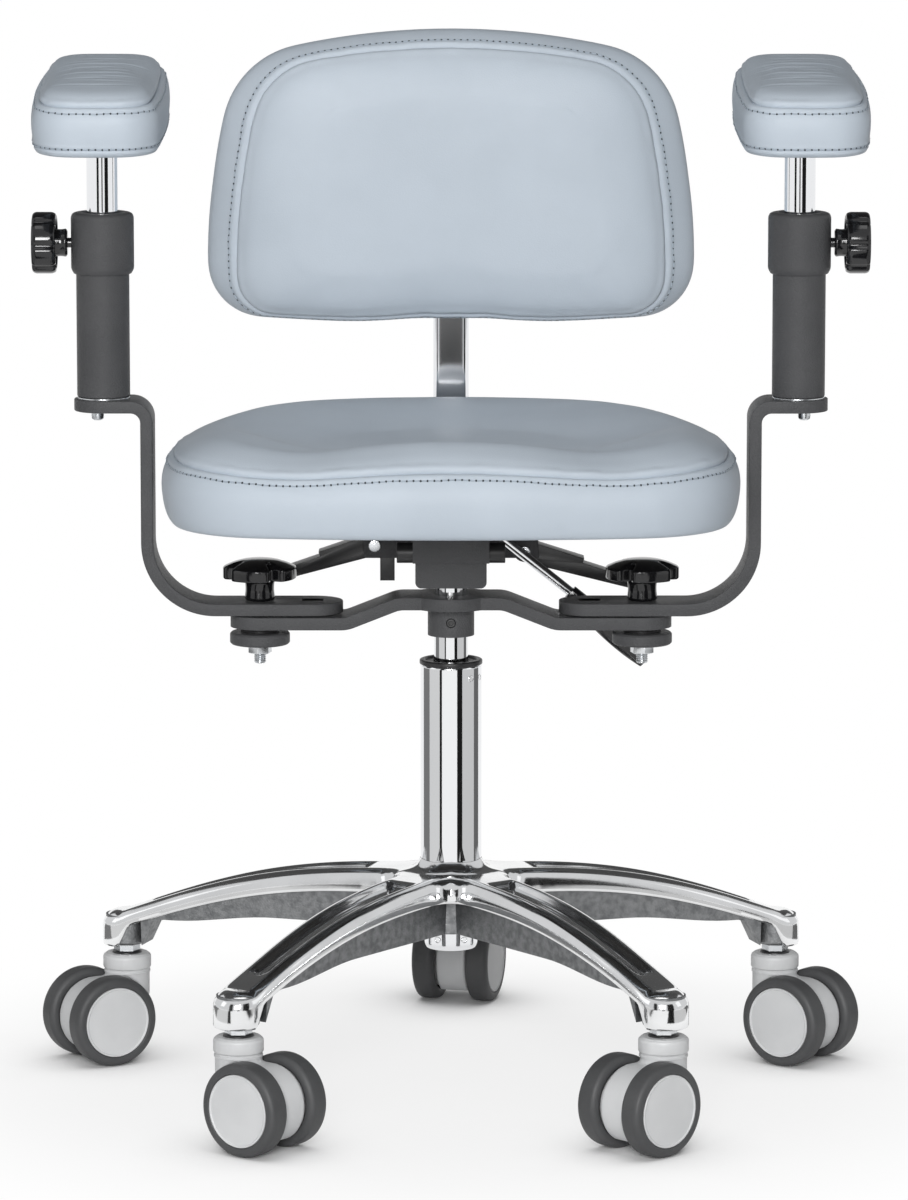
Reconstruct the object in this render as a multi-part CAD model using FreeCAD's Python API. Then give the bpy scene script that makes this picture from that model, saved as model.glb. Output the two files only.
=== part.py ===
"""Microscope chair on a five-star castor base, with swinging arm rests.

Frame: millimetres, +Z up, origin on the floor under the column's axis.
The sitter faces -Y, and left and right are as seen from the front: left is -X.
"""
import FreeCAD, Part
import math
import os

Vector = FreeCAD.Vector
ORIGIN = Vector(0, 0, 0)
HEX_SIDES = 6
X_AXIS = Vector(1, 0, 0)
Y_AXIS = Vector(0, 1, 0)
Z_AXIS = Vector(0, 0, 1)

# Clearances
RUN_GAP = 0.3            # between pieces that move on each other
SIDE_PLAY = 1.0          # beside parts that turn past one another
PAST = 1.0               # how far a cutter runs past the face that it opens

# Castors
WHEEL_RADIUS = 37.5
WHEEL_WIDTH = 20.0
WHEEL_SPACING = 48.0     # between the two wheel centres
COVER_RADIUS = 29.0
COVER_BULGE = 2.0
TREAD_ROUND = 6.0
AXLE_RADIUS = 4.0
CASTOR_TRAIL = 27.0
DRUM_RADIUS = 31.0
DRUM_GROUND_GAP = 10.0
SWIVEL_RADIUS = 18.7
SWIVEL_TOP = 89.0
SWIVEL_BOTTOM = 52.0
SWIVEL_GROOVE_DOWN = 12.0
SWIVEL_GROOVE = 1.2
STEM_RADIUS = 5.5
STEM_HEX = 19.0
STEM_FOOT = 62.0
STEM_RISE = 27.0
TRAIL_HEADINGS = {18: -38.0, 90: 75.0, 162: 211.0, 234: -39.0, 306: 224.0}

# Base
STEM_CIRCLE = 285.0
TIP_RADIUS = 20.0
TIP_BOTTOM = 96.0
TIP_TOP = 129.0
TIP_ROUND = 9.0
HUB_TOP = 183.0
HUB_RADIUS = 38.0
HUB_ROUND = 7.0
HUB_POLISH_BOTTOM = 156.0
HUB_CORE_RADIUS = 34.0
HUB_BOTTOM = 128.5
LEG_STATIONS = 5
LEG_START = 35.0
LEG_TOP_INNER = 178.0
LEG_TOP_OUTER = 126.0
LEG_ARCH = 13.5
LEG_HALF_INNER = 25.0
LEG_HALF_OUTER = 18.5
LEG_BAND_INNER = 20.0
LEG_BAND_OUTER = 14.0
LEG_CREST = 6.0
CHANNEL_DEPTH = 8.5
WEB_HALF = 15.0
WEB_WALL = 5.0
WEB_BOTTOM = 130.0
WEB_REACH = 235.0
WEB_TIP_BOTTOM = 119.0
WEB_CORNER = 3.0

# Column and gas lift
COLUMN_RADIUS = 25.0
COLUMN_WALL = 3.0
COLUMN_TOP = 348.0
COLUMN_END_RADIUS = 21.7
COLUMN_END = 112.0
COLUMN_END_ROUND = 3.0
COLUMN_FLOOR = 119.0
COLUMN_FLOOR_THICK = 4.0
BUSH_FLANGE_RADIUS = 25.7
BUSH_FLANGE = 4.0
BUSH_LENGTH = 60.0
CYLINDER_RADIUS = 14.0
CYLINDER_WALL = 2.5
CYLINDER_BOTTOM = 172.0
CYLINDER_GUIDE = 18.0
CYLINDER_HEAD = 42.0
CYLINDER_TOP = 452.0
CYLINDER_CONE = 40.0
CYLINDER_TOP_RADIUS = 13.0
PISTON_ROD_RADIUS = 5.0
PISTON_HEIGHT = 14.0
PISTON_TOP = 322.0
BEARING_RADIUS = 15.0
BEARING_HEIGHT = 7.0
CLIP_RADIUS = 8.0
CLIP_THICK = 1.6
CLIP_DROP = 1.5
VALVE_RADIUS = 3.5
VALVE_RISE = 7.0
VALVE_DEPTH = 20.0

# Arm carrier and swing bars
BAR_THICK = 10.0
BAR_WIDTH = 48.0
CARRIER_TOP = 405.5
CARRIER_BOSS_RADIUS = 34.0
CARRIER_FLAT = 43.0
CARRIER_SLOPE_END = 85.0
CARRIER_END_TOP = 389.0
CARRIER_BEND = 24.0
COLLAR_RADIUS = 19.0
COLLAR_BOTTOM = 372.0
SET_SCREW_RADIUS = 4.0
SET_SCREW_HEIGHT = 384.0
ARM_PIVOT = 156.0
ARM_STUD_RADIUS = 5.0
ARM_STUD_BOTTOM = 346.0
BAR_GAP = 1.5
DISC_RADIUS = 24.5
DISC_THICK = 10.0
DISC_CHAMFER = 1.5
WASHER_RADIUS = 17.0
WASHER_THICK = 4.5
NUT_HEX = 17.0
NUT_THICK = 5.0
SWING_INNER_END = 88.0
SWING_WALL = 246.5
SWING_BEND = 55.0
TAB_BEND = 13.0
TAB_TOP = 566.5
POST_REACH = 282.0

# Knobs
STAR_RADIUS = 30.0
STAR_LOBES = 4
STAR_GROOVE = 5.5
STAR_GROOVE_DEPTH = 6.0
STAR_RIM = 10.0
STAR_DOME = 6.5
STAR_STEM_RADIUS = 12.3
STAR_STEM = 18.0
CLAMP_RADIUS = 25.0
CLAMP_LOBES = 7
CLAMP_GROOVE = 6.0
CLAMP_GROOVE_DEPTH = 2.4
CLAMP_THICK = 20.0
CLAMP_EDGE = 2.0
CLAMP_HUB_RADIUS = 11.5
CLAMP_HUB = 9.5
CLAMP_STAND = 2.0
CLAMP_SCREW_RADIUS = 4.0
CLAMP_HEIGHT = 693.0

# Arm posts and pads
POST_RADIUS = 21.5
POST_FLOOR = 15.0
POST_WASHER = 1.2
POST_BOLT_RADIUS = 5.2
POST_BOLT_OUT = 5.0
POST_BOLT_BELOW = 8.0
POST_BOLT_UP = 11.0
POST_ABOVE_CLAMP = 18.0
POST_TOP = CLAMP_HEIGHT + POST_ABOVE_CLAMP
RING_RADIUS = 25.5
RING_HALF = 25.0
RING_BOTTOM = CLAMP_HEIGHT - RING_HALF
RING_TOP = CLAMP_HEIGHT + RING_HALF
RING_ROUND = 4.0
ROD_RADIUS = 12.6
ROD_WALL = 2.5
ROD_DEPTH_SHARE = 63.0 / 110.3
POST_BORE_BOTTOM = TAB_TOP + POST_WASHER + POST_FLOOR
ROD_BOTTOM = CLAMP_HEIGHT - ROD_DEPTH_SHARE * (CLAMP_HEIGHT - POST_BORE_BOTTOM)
PAD_HALF_WIDTH = 54.5
PAD_HALF_LENGTH = 118.0
ROD_SHOWN = 65.0
PAD_BOTTOM = RING_TOP + ROD_SHOWN
PAD_TILT = 5.0
PAD_SEAM_RISE = 39.0
PAD_CROWN = 7.0
PAD_SIDE_RADIUS = 1100.0
PAD_END_RADIUS = 260.0
PAD_CORNER = 34.0
PAD_BULGE = 7.0
PLATE_MARGIN = 14.0
PLATE_THICK = 9.0
PLATE_CORNER = 18.0
ROD_SEAT_DEPTH = 4.0

# Tilt mechanism
SKIRT_HALF = 31.0
SKIRT_WALL = 1.8
SKIRT_FRONT = -45.0
SKIRT_REAR = 95.0
SKIRT_BOTTOM = 437.0
FLANGE_TOP = 478.0
FLANGE_THICK = 3.0
FLANGE_HALF_X = 105.0
FLANGE_HALF_Y = 80.0
FLANGE_CORNER = 20.0
FLANGE_CENTRE_Y = 15.0
SHEET = 2.5
HOUSING_BOTTOM = 416.0
HOUSING_TOP = 456.0
HOUSING_FRONT = -40.5
HOUSING_REAR = 92.0
HOUSING_EDGE = 5.0
SOCKET_RADIUS = 20.0
SOCKET_DROP = 2.0
BARREL_RADIUS = 8.5
BARREL_Y = -30.0
BARREL_Z = 444.0
BARREL_OUT = 44.0
BACK_PIN_RADIUS = 5.0
BACK_PIN_Y = 78.0
BACK_PIN_Z = 446.0
LUG_Y = 60.0
LUG_THICK = 4.0
LUG_EDGE = 5.0
LUG_TOP = 461.0
LUG_REACH = 72.0
LEVER_PIN_RADIUS = 3.7
LEVER_PIN_HEAD = 2.5
LEVER_PIN_HEAD_RADIUS = 5.0
TILT_PIN_OUT = 63.0
TILT_PIN_HEIGHT = 436.5
TILT_TIP_OUT = 145.0
TILT_TIP_HEIGHT = 408.5
REAR_LEVER_PIN_OUT = 60.5
REAR_LEVER_PIN_HEIGHT = 431.0
REAR_LEVER_TIP_OUT = 149.0
REAR_LEVER_TIP_HEIGHT = 403.0
LEVER_PIN_X = {"tilt": -TILT_PIN_OUT, "back": REAR_LEVER_PIN_OUT}
LEVER_PIN_Z = {"tilt": TILT_PIN_HEIGHT, "back": REAR_LEVER_PIN_HEIGHT}
LUG_BOTTOM = min(LEVER_PIN_Z.values()) - LUG_EDGE
LEVER_TIP_X = {"tilt": -TILT_TIP_OUT, "back": REAR_LEVER_TIP_OUT}
LEVER_TIP_Z = {"tilt": TILT_TIP_HEIGHT, "back": REAR_LEVER_TIP_HEIGHT}
LEVER_HUB_RADIUS = 9.0
LEVER_DEPTH = 20.0
LEVER_ROOT_HEIGHT = 18.0
LEVER_TIP_HEIGHT = 14.0
LEVER_STEP = 0.53
TONGUE_OUT = 12.0
TONGUE_DROP = 30.0

# Height lever
HEIGHT_PIVOT_X = 20.0
HEIGHT_PIVOT_Y = 46.0
HEIGHT_PIVOT_Z = 462.5
HEIGHT_PIN_RADIUS = 3.0
HEIGHT_EYE_RADIUS = 6.5
HEIGHT_EYE_WIDTH = 8.0
HEIGHT_LUG_THICK = 3.0
HEIGHT_ROD_RADIUS = 4.0
HEIGHT_BEND_X = 98.0
HEIGHT_BEND_Z = 400.0
HEIGHT_TIP_X = 159.0
HEIGHT_TIP_Z = 341.0
HEIGHT_GRIP_WIDTH = 8.0
HEIGHT_GRIP_THICK = 6.5
HEIGHT_GRIP_END = 6.0
HEIGHT_GRIP_OVERLAP = 14.0
PRESS_PLATE = 3.0
PRESS_WIDTH = 10.0
LEVER_SLOT = 9.0

# Seat
SEAT_HALF_WIDTH = 233.0
SEAT_FRONT = 209.0
SEAT_REAR = 205.0
SEAT_WIDEST_Y = -55.0
SEAT_SIDE_RADIUS = 380.0
SEAT_FRONT_RADIUS = 900.0
SEAT_REAR_RADIUS = 300.0
SEAT_FRONT_CORNER = 85.0
SEAT_REAR_CORNER = 140.0
SEAT_BOTTOM = 480.0
SEAT_SEAM_RISE = 44.0
SEAT_CROWN = 22.0
SEAT_DISH_DEPTH = 15.0
SEAT_DISH_RADIUS = 165.0
SEAT_DISH_Y = 30.0
SEAT_BULGE = 9.0
BOARD_THICK = 12.0
BOARD_MARGIN = 20.0

# Backrest
BACK_HALF_WIDTH = 203.0
BACK_BOTTOM = 610.0
BACK_TOP = 853.0
BACK_WIDEST_Z = 672.0
BACK_SIDE_RADIUS = 480.0
BACK_TOP_RADIUS = 620.0
BACK_BOTTOM_RADIUS = 4000.0
BACK_TOP_CORNER = 78.0
BACK_BOTTOM_CORNER = 46.0
BACK_REAR = 214.0
BACK_SEAM_Y = 172.0
BACK_CROWN = 17.0
BACK_SEAM_SIDE = 25.0
BACK_SEAM_TOP = 13.0
BACK_SEAM_BOTTOM = 5.0
BACK_BOARD_THICK = 12.0
BACK_BOARD_MARGIN = 24.0
BACK_BAR_WIDTH = 30.0
BACK_BAR_THICK = 12.0
BACK_BAR_ROUND = 5.0
BACK_BAR_Y = 241.0
BACK_BAR_TOP = 770.0
BACK_BAR_BEND = 60.0
BACK_BAR_HUB = 10.0
CLAMP_BLOCK_WIDTH = 48.0
CLAMP_BLOCK_WALL = 7.0
CLAMP_BLOCK_BOTTOM = 672.0
CLAMP_BLOCK_TOP = 732.0
CLAMP_BLOCK_ROUND = 4.0


def rod(radius, start, end):
    """A solid cylinder between two points."""
    axis = end - start
    return Part.makeCylinder(radius, axis.Length, start, axis)


def upright(radius, bottom, top, x=0.0, y=0.0):
    """A solid cylinder standing at x, y."""
    return rod(radius, Vector(x, y, bottom), Vector(x, y, top))


def box(low, high):
    """A solid box between two corners."""
    size = high - low
    return Part.makeBox(size.x, size.y, size.z, low)


def turned(profile):
    """A solid turned about the vertical axis from (radius, height) points."""
    points = [Vector(radius, 0, height) for radius, height in profile]
    face = Part.Face(Part.makePolygon(points + points[:1]))
    return face.revolve(ORIGIN, Z_AXIS, 360)


def hexagon(across_flats, bottom, top, x=0.0, y=0.0):
    """An upright hexagonal prism."""
    corner = across_flats / (2 * math.cos(math.pi / HEX_SIDES))
    points = []
    for step in range(HEX_SIDES + 1):
        angle = 2 * math.pi * step / HEX_SIDES
        points.append(Vector(x + corner * math.cos(angle), y + corner * math.sin(angle), bottom))
    return Part.Face(Part.makePolygon(points)).extrude(Vector(0, 0, top - bottom))


def slot_prism(radius, x_low, x_high, bottom, top):
    """A prism with two round ends whose centres lie on the X axis."""
    first = Vector(x_low, -radius, bottom)
    second = Vector(x_high, -radius, bottom)
    third = Vector(x_high, radius, bottom)
    fourth = Vector(x_low, radius, bottom)
    edges = [
        Part.makeLine(first, second),
        Part.Arc(second, Vector(x_high + radius, 0, bottom), third).toShape(),
        Part.makeLine(third, fourth),
        Part.Arc(fourth, Vector(x_low - radius, 0, bottom), first).toShape(),
    ]
    return Part.Face(Part.Wire(edges)).extrude(Vector(0, 0, top - bottom))


def rounded_rectangle(centre, along, across, half_along, half_across, radius):
    """A closed wire: a rectangle with rounded corners in the plane of two unit vectors."""
    corners = [(1, -1), (1, 1), (-1, 1), (-1, -1)]
    diagonal = radius * (1 - math.sqrt(0.5))
    ends = []
    for u, v in corners:
        tip = centre + along * (u * half_along) + across * (v * half_across)
        before = tip - across * (v * radius)
        after = tip - along * (u * radius)
        if u * v < 0:
            before, after = after, before
        middle = tip - along * (u * diagonal) - across * (v * diagonal)
        ends.append((before, middle, after))
    edges = []
    for index, (before, middle, after) in enumerate(ends):
        edges.append(Part.Arc(before, middle, after).toShape())
        edges.append(Part.makeLine(after, ends[(index + 1) % 4][0]))
    return Part.Wire(edges)


def bent_face(points, bend_radius, thickness, to_space):
    """The side face of a flat bar whose middle line turns at each inner point."""
    sides = {1: [], -1: []}
    for side in sides:
        sides[side].append(offset_end(points[0], points[1], points[0], side * thickness / 2))
        for before, here, after in zip(points, points[1:], points[2:]):
            sides[side].append(offset_bend(before, here, after, bend_radius, side * thickness / 2))
        sides[side].append(offset_end(points[-2], points[-1], points[-1], side * thickness / 2))
    edges = []
    edges += run_edges(sides[1], to_space)
    edges.append(Part.makeLine(to_space(sides[1][-1][-1]), to_space(sides[-1][-1][-1])))
    edges += run_edges([list(reversed(piece)) for piece in reversed(sides[-1])], to_space)
    edges.append(Part.makeLine(to_space(sides[-1][0][0]), to_space(sides[1][0][0])))
    return Part.Face(Part.Wire(edges))


def offset_end(start, end, at, distance):
    """An end point of a bar's side, set off square to its run."""
    direction = unit((end[0] - start[0], end[1] - start[1]))
    return [(at[0] - direction[1] * distance, at[1] + direction[0] * distance)]


def offset_bend(before, here, after, bend_radius, distance):
    """Start, middle and end of one side's arc round a bend of the middle line."""
    arriving = unit((here[0] - before[0], here[1] - before[1]))
    leaving = unit((after[0] - here[0], after[1] - here[1]))
    cross = arriving[0] * leaving[1] - arriving[1] * leaving[0]
    turn = math.copysign(1.0, cross)
    angle = math.acos(max(-1.0, min(1.0, arriving[0] * leaving[0] + arriving[1] * leaving[1])))
    setback = bend_radius * math.tan(angle / 2)
    start = (here[0] - arriving[0] * setback, here[1] - arriving[1] * setback)
    centre = (start[0] - arriving[1] * turn * bend_radius, start[1] + arriving[0] * turn * bend_radius)
    radius = bend_radius - turn * distance
    out_start = (arriving[1] * turn, -arriving[0] * turn)
    out_end = (leaving[1] * turn, -leaving[0] * turn)
    out_middle = unit((out_start[0] + out_end[0], out_start[1] + out_end[1]))
    return [(centre[0] + out[0] * radius, centre[1] + out[1] * radius)
            for out in (out_start, out_middle, out_end)]


def run_edges(pieces, to_space):
    """Straight runs and arcs through the pieces of one side of a bar."""
    edges = []
    last = None
    for piece in pieces:
        if last is not None:
            edges.append(Part.makeLine(to_space(last), to_space(piece[0])))
        if len(piece) == 3:
            edges.append(Part.Arc(*[to_space(point) for point in piece]).toShape())
        last = piece[-1]
    return edges


def unit(pair):
    """A pair scaled to length one."""
    length = math.hypot(pair[0], pair[1])
    return (pair[0] / length, pair[1] / length)


def soft_outline(half_width, front, rear, widest, side_radius, front_radius, rear_radius,
                 front_corner, rear_corner, to_space):
    """A closed wire of eight tangent arcs: bowed front, rear and sides with round corners."""
    front_centre = (0.0, -front + front_radius)
    rear_centre = (0.0, rear - rear_radius)
    side_centre = (half_width - side_radius, widest)
    right_front = corner_arc(front_centre, front_radius, side_centre, side_radius, front_corner, -1)
    right_rear = corner_arc(rear_centre, rear_radius, side_centre, side_radius, rear_corner, 1)
    left_front = [(-u, v) for u, v in reversed(right_front)]
    left_rear = [(-u, v) for u, v in reversed(right_rear)]
    side_middle = arc_middle(side_centre, right_front[2], right_rear[2], side_radius)
    arcs = [
        [left_front[2], (0.0, -front), right_front[0]],
        right_front,
        [right_front[2], side_middle, right_rear[2]],
        list(reversed(right_rear)),
        [right_rear[0], (0.0, rear), left_rear[2]],
        list(reversed(left_rear)),
        [left_rear[0], (-side_middle[0], side_middle[1]), left_front[0]],
        left_front,
    ]
    return Part.Wire([Part.Arc(*[to_space(u, v) for u, v in arc]).toShape() for arc in arcs])


def corner_arc(end_centre, end_radius, side_centre, side_radius, corner, direction):
    """A corner's arc, from its end arc to its side arc, tangent to both."""
    reach_end = end_radius - corner
    reach_side = side_radius - corner
    gap = (side_centre[0] - end_centre[0], side_centre[1] - end_centre[1])
    distance = math.hypot(gap[0], gap[1])
    along = (reach_end ** 2 - reach_side ** 2 + distance ** 2) / (2 * distance)
    across = math.sqrt(reach_end ** 2 - along ** 2)
    middle = (end_centre[0] + gap[0] * along / distance, end_centre[1] + gap[1] * along / distance)
    options = []
    for sign in (-1, 1):
        options.append((middle[0] - sign * gap[1] * across / distance,
                        middle[1] + sign * gap[0] * across / distance))
    centre = max(options, key=lambda point: point[0] + direction * point[1])
    on_end = unit((centre[0] - end_centre[0], centre[1] - end_centre[1]))
    on_side = unit((centre[0] - side_centre[0], centre[1] - side_centre[1]))
    start = (centre[0] + on_end[0] * corner, centre[1] + on_end[1] * corner)
    end = (centre[0] + on_side[0] * corner, centre[1] + on_side[1] * corner)
    return [start, arc_middle(centre, start, end, corner), end]


def arc_middle(centre, start, end, radius):
    """The point half way along an arc under a half circle."""
    out = unit((start[0] + end[0] - 2 * centre[0], start[1] + end[1] - 2 * centre[1]))
    return (centre[0] + out[0] * radius, centre[1] + out[1] * radius)


def fused(shapes):
    """One solid from shapes that meet."""
    return shapes[0].multiFuse(shapes[1:]).removeSplitter()


def without(shape, cutters):
    """A shape with several others taken away."""
    return shape.cut(Part.makeCompound(cutters))


def leg_angles():
    """The directions of the five legs, anticlockwise from +X."""
    return sorted(TRAIL_HEADINGS)


def stem_place(angle):
    """Where a leg's castor stem stands."""
    turn = math.radians(angle)
    return Vector(STEM_CIRCLE * math.cos(turn), STEM_CIRCLE * math.sin(turn), 0)


def between(first, last, share):
    """A value part of the way from one to another."""
    return first + (last - first) * share


# Base and column

def leg_section(share):
    """A leg's upper section: rounded crests with a shallow channel between them."""
    reach = between(LEG_START, STEM_CIRCLE, share)
    arch = LEG_ARCH * math.sin(math.pi * share)
    top = between(LEG_TOP_INNER, LEG_TOP_OUTER, share) + arch
    low = top - between(LEG_BAND_INNER, LEG_BAND_OUTER, share)
    half = between(LEG_HALF_INNER, LEG_HALF_OUTER, share)
    channel = top - CHANNEL_DEPTH * math.sin(math.pi * min(1.0, 0.45 + 0.6 * share))
    inner = half - LEG_CREST * (1 + math.sqrt(0.5))
    shoulder = top - LEG_CREST * (1 - math.sqrt(0.5))

    def at(v, height):
        return Vector(reach, v, height)

    edges = [
        Part.makeLine(at(half, low), at(half, top - LEG_CREST)),
        Part.Arc(at(half, top - LEG_CREST), at(half - LEG_CREST, top), at(inner, shoulder)).toShape(),
        Part.Arc(at(inner, shoulder), at(0, channel), at(-inner, shoulder)).toShape(),
        Part.Arc(at(-inner, shoulder), at(LEG_CREST - half, top), at(-half, top - LEG_CREST)).toShape(),
        Part.makeLine(at(-half, top - LEG_CREST), at(-half, low)),
        Part.makeLine(at(-half, low), at(half, low)),
    ]
    return Part.Wire(edges), low


def leg():
    """One leg along +X: polished upper band, cast web below it and a round tip."""
    shares = [index / (LEG_STATIONS - 1) for index in range(LEG_STATIONS)]
    band = Part.makeLoft([leg_section(share)[0] for share in shares], True, False)
    inner_low = leg_section(0.0)[1]
    outer_low = leg_section((WEB_REACH - LEG_START) / (STEM_CIRCLE - LEG_START))[1]
    web = web_solid(WEB_HALF, inner_low + WEB_WALL, outer_low + WEB_WALL, 0.0)
    pocket = web_solid(WEB_HALF - WEB_WALL, inner_low, outer_low - WEB_WALL / 2, WEB_WALL)
    tip = turned([(0, TIP_BOTTOM), (TIP_RADIUS, TIP_BOTTOM), (TIP_RADIUS, TIP_TOP), (0, TIP_TOP)])
    tip = tip.makeFillet(TIP_ROUND, [edge for edge in tip.Edges if edge.BoundBox.ZMin > TIP_TOP - RUN_GAP])
    tip.translate(Vector(STEM_CIRCLE, 0, 0))
    bore = upright(STEM_RADIUS, TIP_BOTTOM - PAST, TIP_BOTTOM + STEM_RISE, STEM_CIRCLE)
    return fused([band, web.cut(pocket), tip]).cut(bore)


def web_solid(half, inner_top, outer_top, shrink):
    """The cast web under a leg, or the pocket inside it when shrunk."""
    sections = []
    ends = [(LEG_START + 2 * shrink, inner_top, WEB_BOTTOM - shrink),
            (between(LEG_START, WEB_REACH, 0.5), between(inner_top, outer_top, 0.4), WEB_BOTTOM - shrink),
            (WEB_REACH - shrink, outer_top, WEB_TIP_BOTTOM - shrink)]
    for reach, top, bottom in ends:
        centre = Vector(reach, 0, (top + bottom) / 2)
        sections.append(rounded_rectangle(centre, Y_AXIS, Z_AXIS, half, (top - bottom) / 2, WEB_CORNER))
    return Part.makeLoft(sections, True, True)


def column_profile():
    """The column tube's outer line, from its end cup to its top."""
    return [(COLUMN_END_RADIUS - COLUMN_END_ROUND, COLUMN_END),
            (COLUMN_END_RADIUS, COLUMN_END + COLUMN_END_ROUND),
            (COLUMN_END_RADIUS, HUB_BOTTOM),
            (COLUMN_RADIUS, HUB_TOP),
            (COLUMN_RADIUS, COLUMN_TOP)]


def base_casting():
    """The five-star base with its hub, bored for the column and the castor stems."""
    hub = turned([(0, HUB_BOTTOM), (HUB_CORE_RADIUS, HUB_BOTTOM), (HUB_CORE_RADIUS, HUB_POLISH_BOTTOM),
                  (HUB_RADIUS, HUB_POLISH_BOTTOM), (HUB_RADIUS, HUB_TOP - HUB_ROUND),
                  (HUB_RADIUS - HUB_ROUND, HUB_TOP), (0, HUB_TOP)])
    hub = hub.cut(turned([(0, COLUMN_END)] + column_profile() + [(0, COLUMN_TOP)]))
    legs = [leg().rotated(ORIGIN, Z_AXIS, angle) for angle in leg_angles()]
    return fused([hub] + legs)


def column_tube():
    """The pressed steel column with its rounded end cup."""
    bore = COLUMN_RADIUS - COLUMN_WALL
    end_bore = COLUMN_END_RADIUS - COLUMN_WALL
    floor_top = COLUMN_FLOOR + COLUMN_FLOOR_THICK
    hole = PISTON_ROD_RADIUS + RUN_GAP
    inside = [(bore, COLUMN_TOP), (bore, HUB_TOP), (end_bore, HUB_BOTTOM), (end_bore, floor_top),
              (hole, floor_top), (hole, COLUMN_FLOOR), (end_bore, COLUMN_FLOOR),
              (COLUMN_END_RADIUS - COLUMN_WALL, COLUMN_END)]
    return turned(column_profile() + inside)


def column_bush():
    """The guide bush that closes the column's top."""
    bore = CYLINDER_RADIUS + RUN_GAP
    sleeve = COLUMN_RADIUS - COLUMN_WALL
    return turned([(bore, COLUMN_TOP - BUSH_LENGTH), (sleeve, COLUMN_TOP - BUSH_LENGTH), (sleeve, COLUMN_TOP),
                   (BUSH_FLANGE_RADIUS, COLUMN_TOP), (BUSH_FLANGE_RADIUS, COLUMN_TOP + BUSH_FLANGE),
                   (bore, COLUMN_TOP + BUSH_FLANGE)])


def thrust_bearing():
    """The bearing washer that the piston rod turns on."""
    bottom = COLUMN_FLOOR + COLUMN_FLOOR_THICK
    hole = PISTON_ROD_RADIUS + RUN_GAP
    ring = upright(BEARING_RADIUS, bottom, bottom + BEARING_HEIGHT)
    return ring.cut(upright(hole, bottom - PAST, bottom + BEARING_HEIGHT + PAST))


def caster_stems():
    """Five stems: a hexagon under each leg tip with a pin above and below it."""
    stems = []
    for angle in leg_angles():
        place = stem_place(angle)
        pin = upright(STEM_RADIUS, STEM_FOOT, TIP_BOTTOM + STEM_RISE, place.x, place.y)
        flats = hexagon(STEM_HEX, SWIVEL_TOP + RUN_GAP, TIP_BOTTOM, place.x, place.y)
        stems.append(fused([pin, flats]))
    return Part.makeCompound(stems)


def piston_rod():
    """The lift's rod with its piston, and the clip that holds it in the column."""
    body = turned([(0, COLUMN_END + CLIP_DROP), (PISTON_ROD_RADIUS, COLUMN_END + CLIP_DROP),
                   (PISTON_ROD_RADIUS, PISTON_TOP - PISTON_HEIGHT),
                   (CYLINDER_RADIUS - CYLINDER_WALL - RUN_GAP, PISTON_TOP - PISTON_HEIGHT),
                   (CYLINDER_RADIUS - CYLINDER_WALL - RUN_GAP, PISTON_TOP), (0, PISTON_TOP)])
    clip_top = COLUMN_FLOOR - RUN_GAP
    clip = upright(CLIP_RADIUS, clip_top - CLIP_THICK, clip_top)
    return fused([body, clip])


def cylinder_outline():
    """The gas cylinder's outer line from its foot to its tapered head."""
    return [(CYLINDER_RADIUS, CYLINDER_BOTTOM), (CYLINDER_RADIUS, CYLINDER_TOP - CYLINDER_CONE),
            (CYLINDER_TOP_RADIUS, CYLINDER_TOP)]


def gas_cylinder():
    """The pressure cylinder, open below for the rod and bored above for the valve pin."""
    solid = turned([(0, CYLINDER_BOTTOM)] + cylinder_outline() + [(0, CYLINDER_TOP)])
    cavity_bottom = CYLINDER_BOTTOM + CYLINDER_GUIDE
    cavity = upright(CYLINDER_RADIUS - CYLINDER_WALL, cavity_bottom, CYLINDER_TOP - CYLINDER_HEAD)
    rod_hole = upright(PISTON_ROD_RADIUS + RUN_GAP, CYLINDER_BOTTOM - PAST, cavity_bottom + PAST)
    valve_floor = CYLINDER_TOP - VALVE_DEPTH
    valve_hole = upright(VALVE_RADIUS + RUN_GAP, valve_floor, CYLINDER_TOP + PAST)
    return without(solid, [cavity, rod_hole, valve_hole])


def valve_pin():
    """The pin that the height lever presses to free the lift."""
    bottom = CYLINDER_TOP - VALVE_DEPTH + VALVE_RISE
    return upright(VALVE_RADIUS, bottom, CYLINDER_TOP + VALVE_RISE)


# Castors

def castor_space(shape, angle):
    """A castor piece modelled at the origin, moved under its leg and turned to its heading."""
    moved = shape.rotated(ORIGIN, Z_AXIS, TRAIL_HEADINGS[angle])
    moved.translate(stem_place(angle))
    return moved


def wheel_cylinder(radius, y_low, y_high):
    """A solid along the castor's axle."""
    low = Vector(CASTOR_TRAIL, y_low, WHEEL_RADIUS)
    return rod(radius, low, Vector(CASTOR_TRAIL, y_high, WHEEL_RADIUS))


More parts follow.
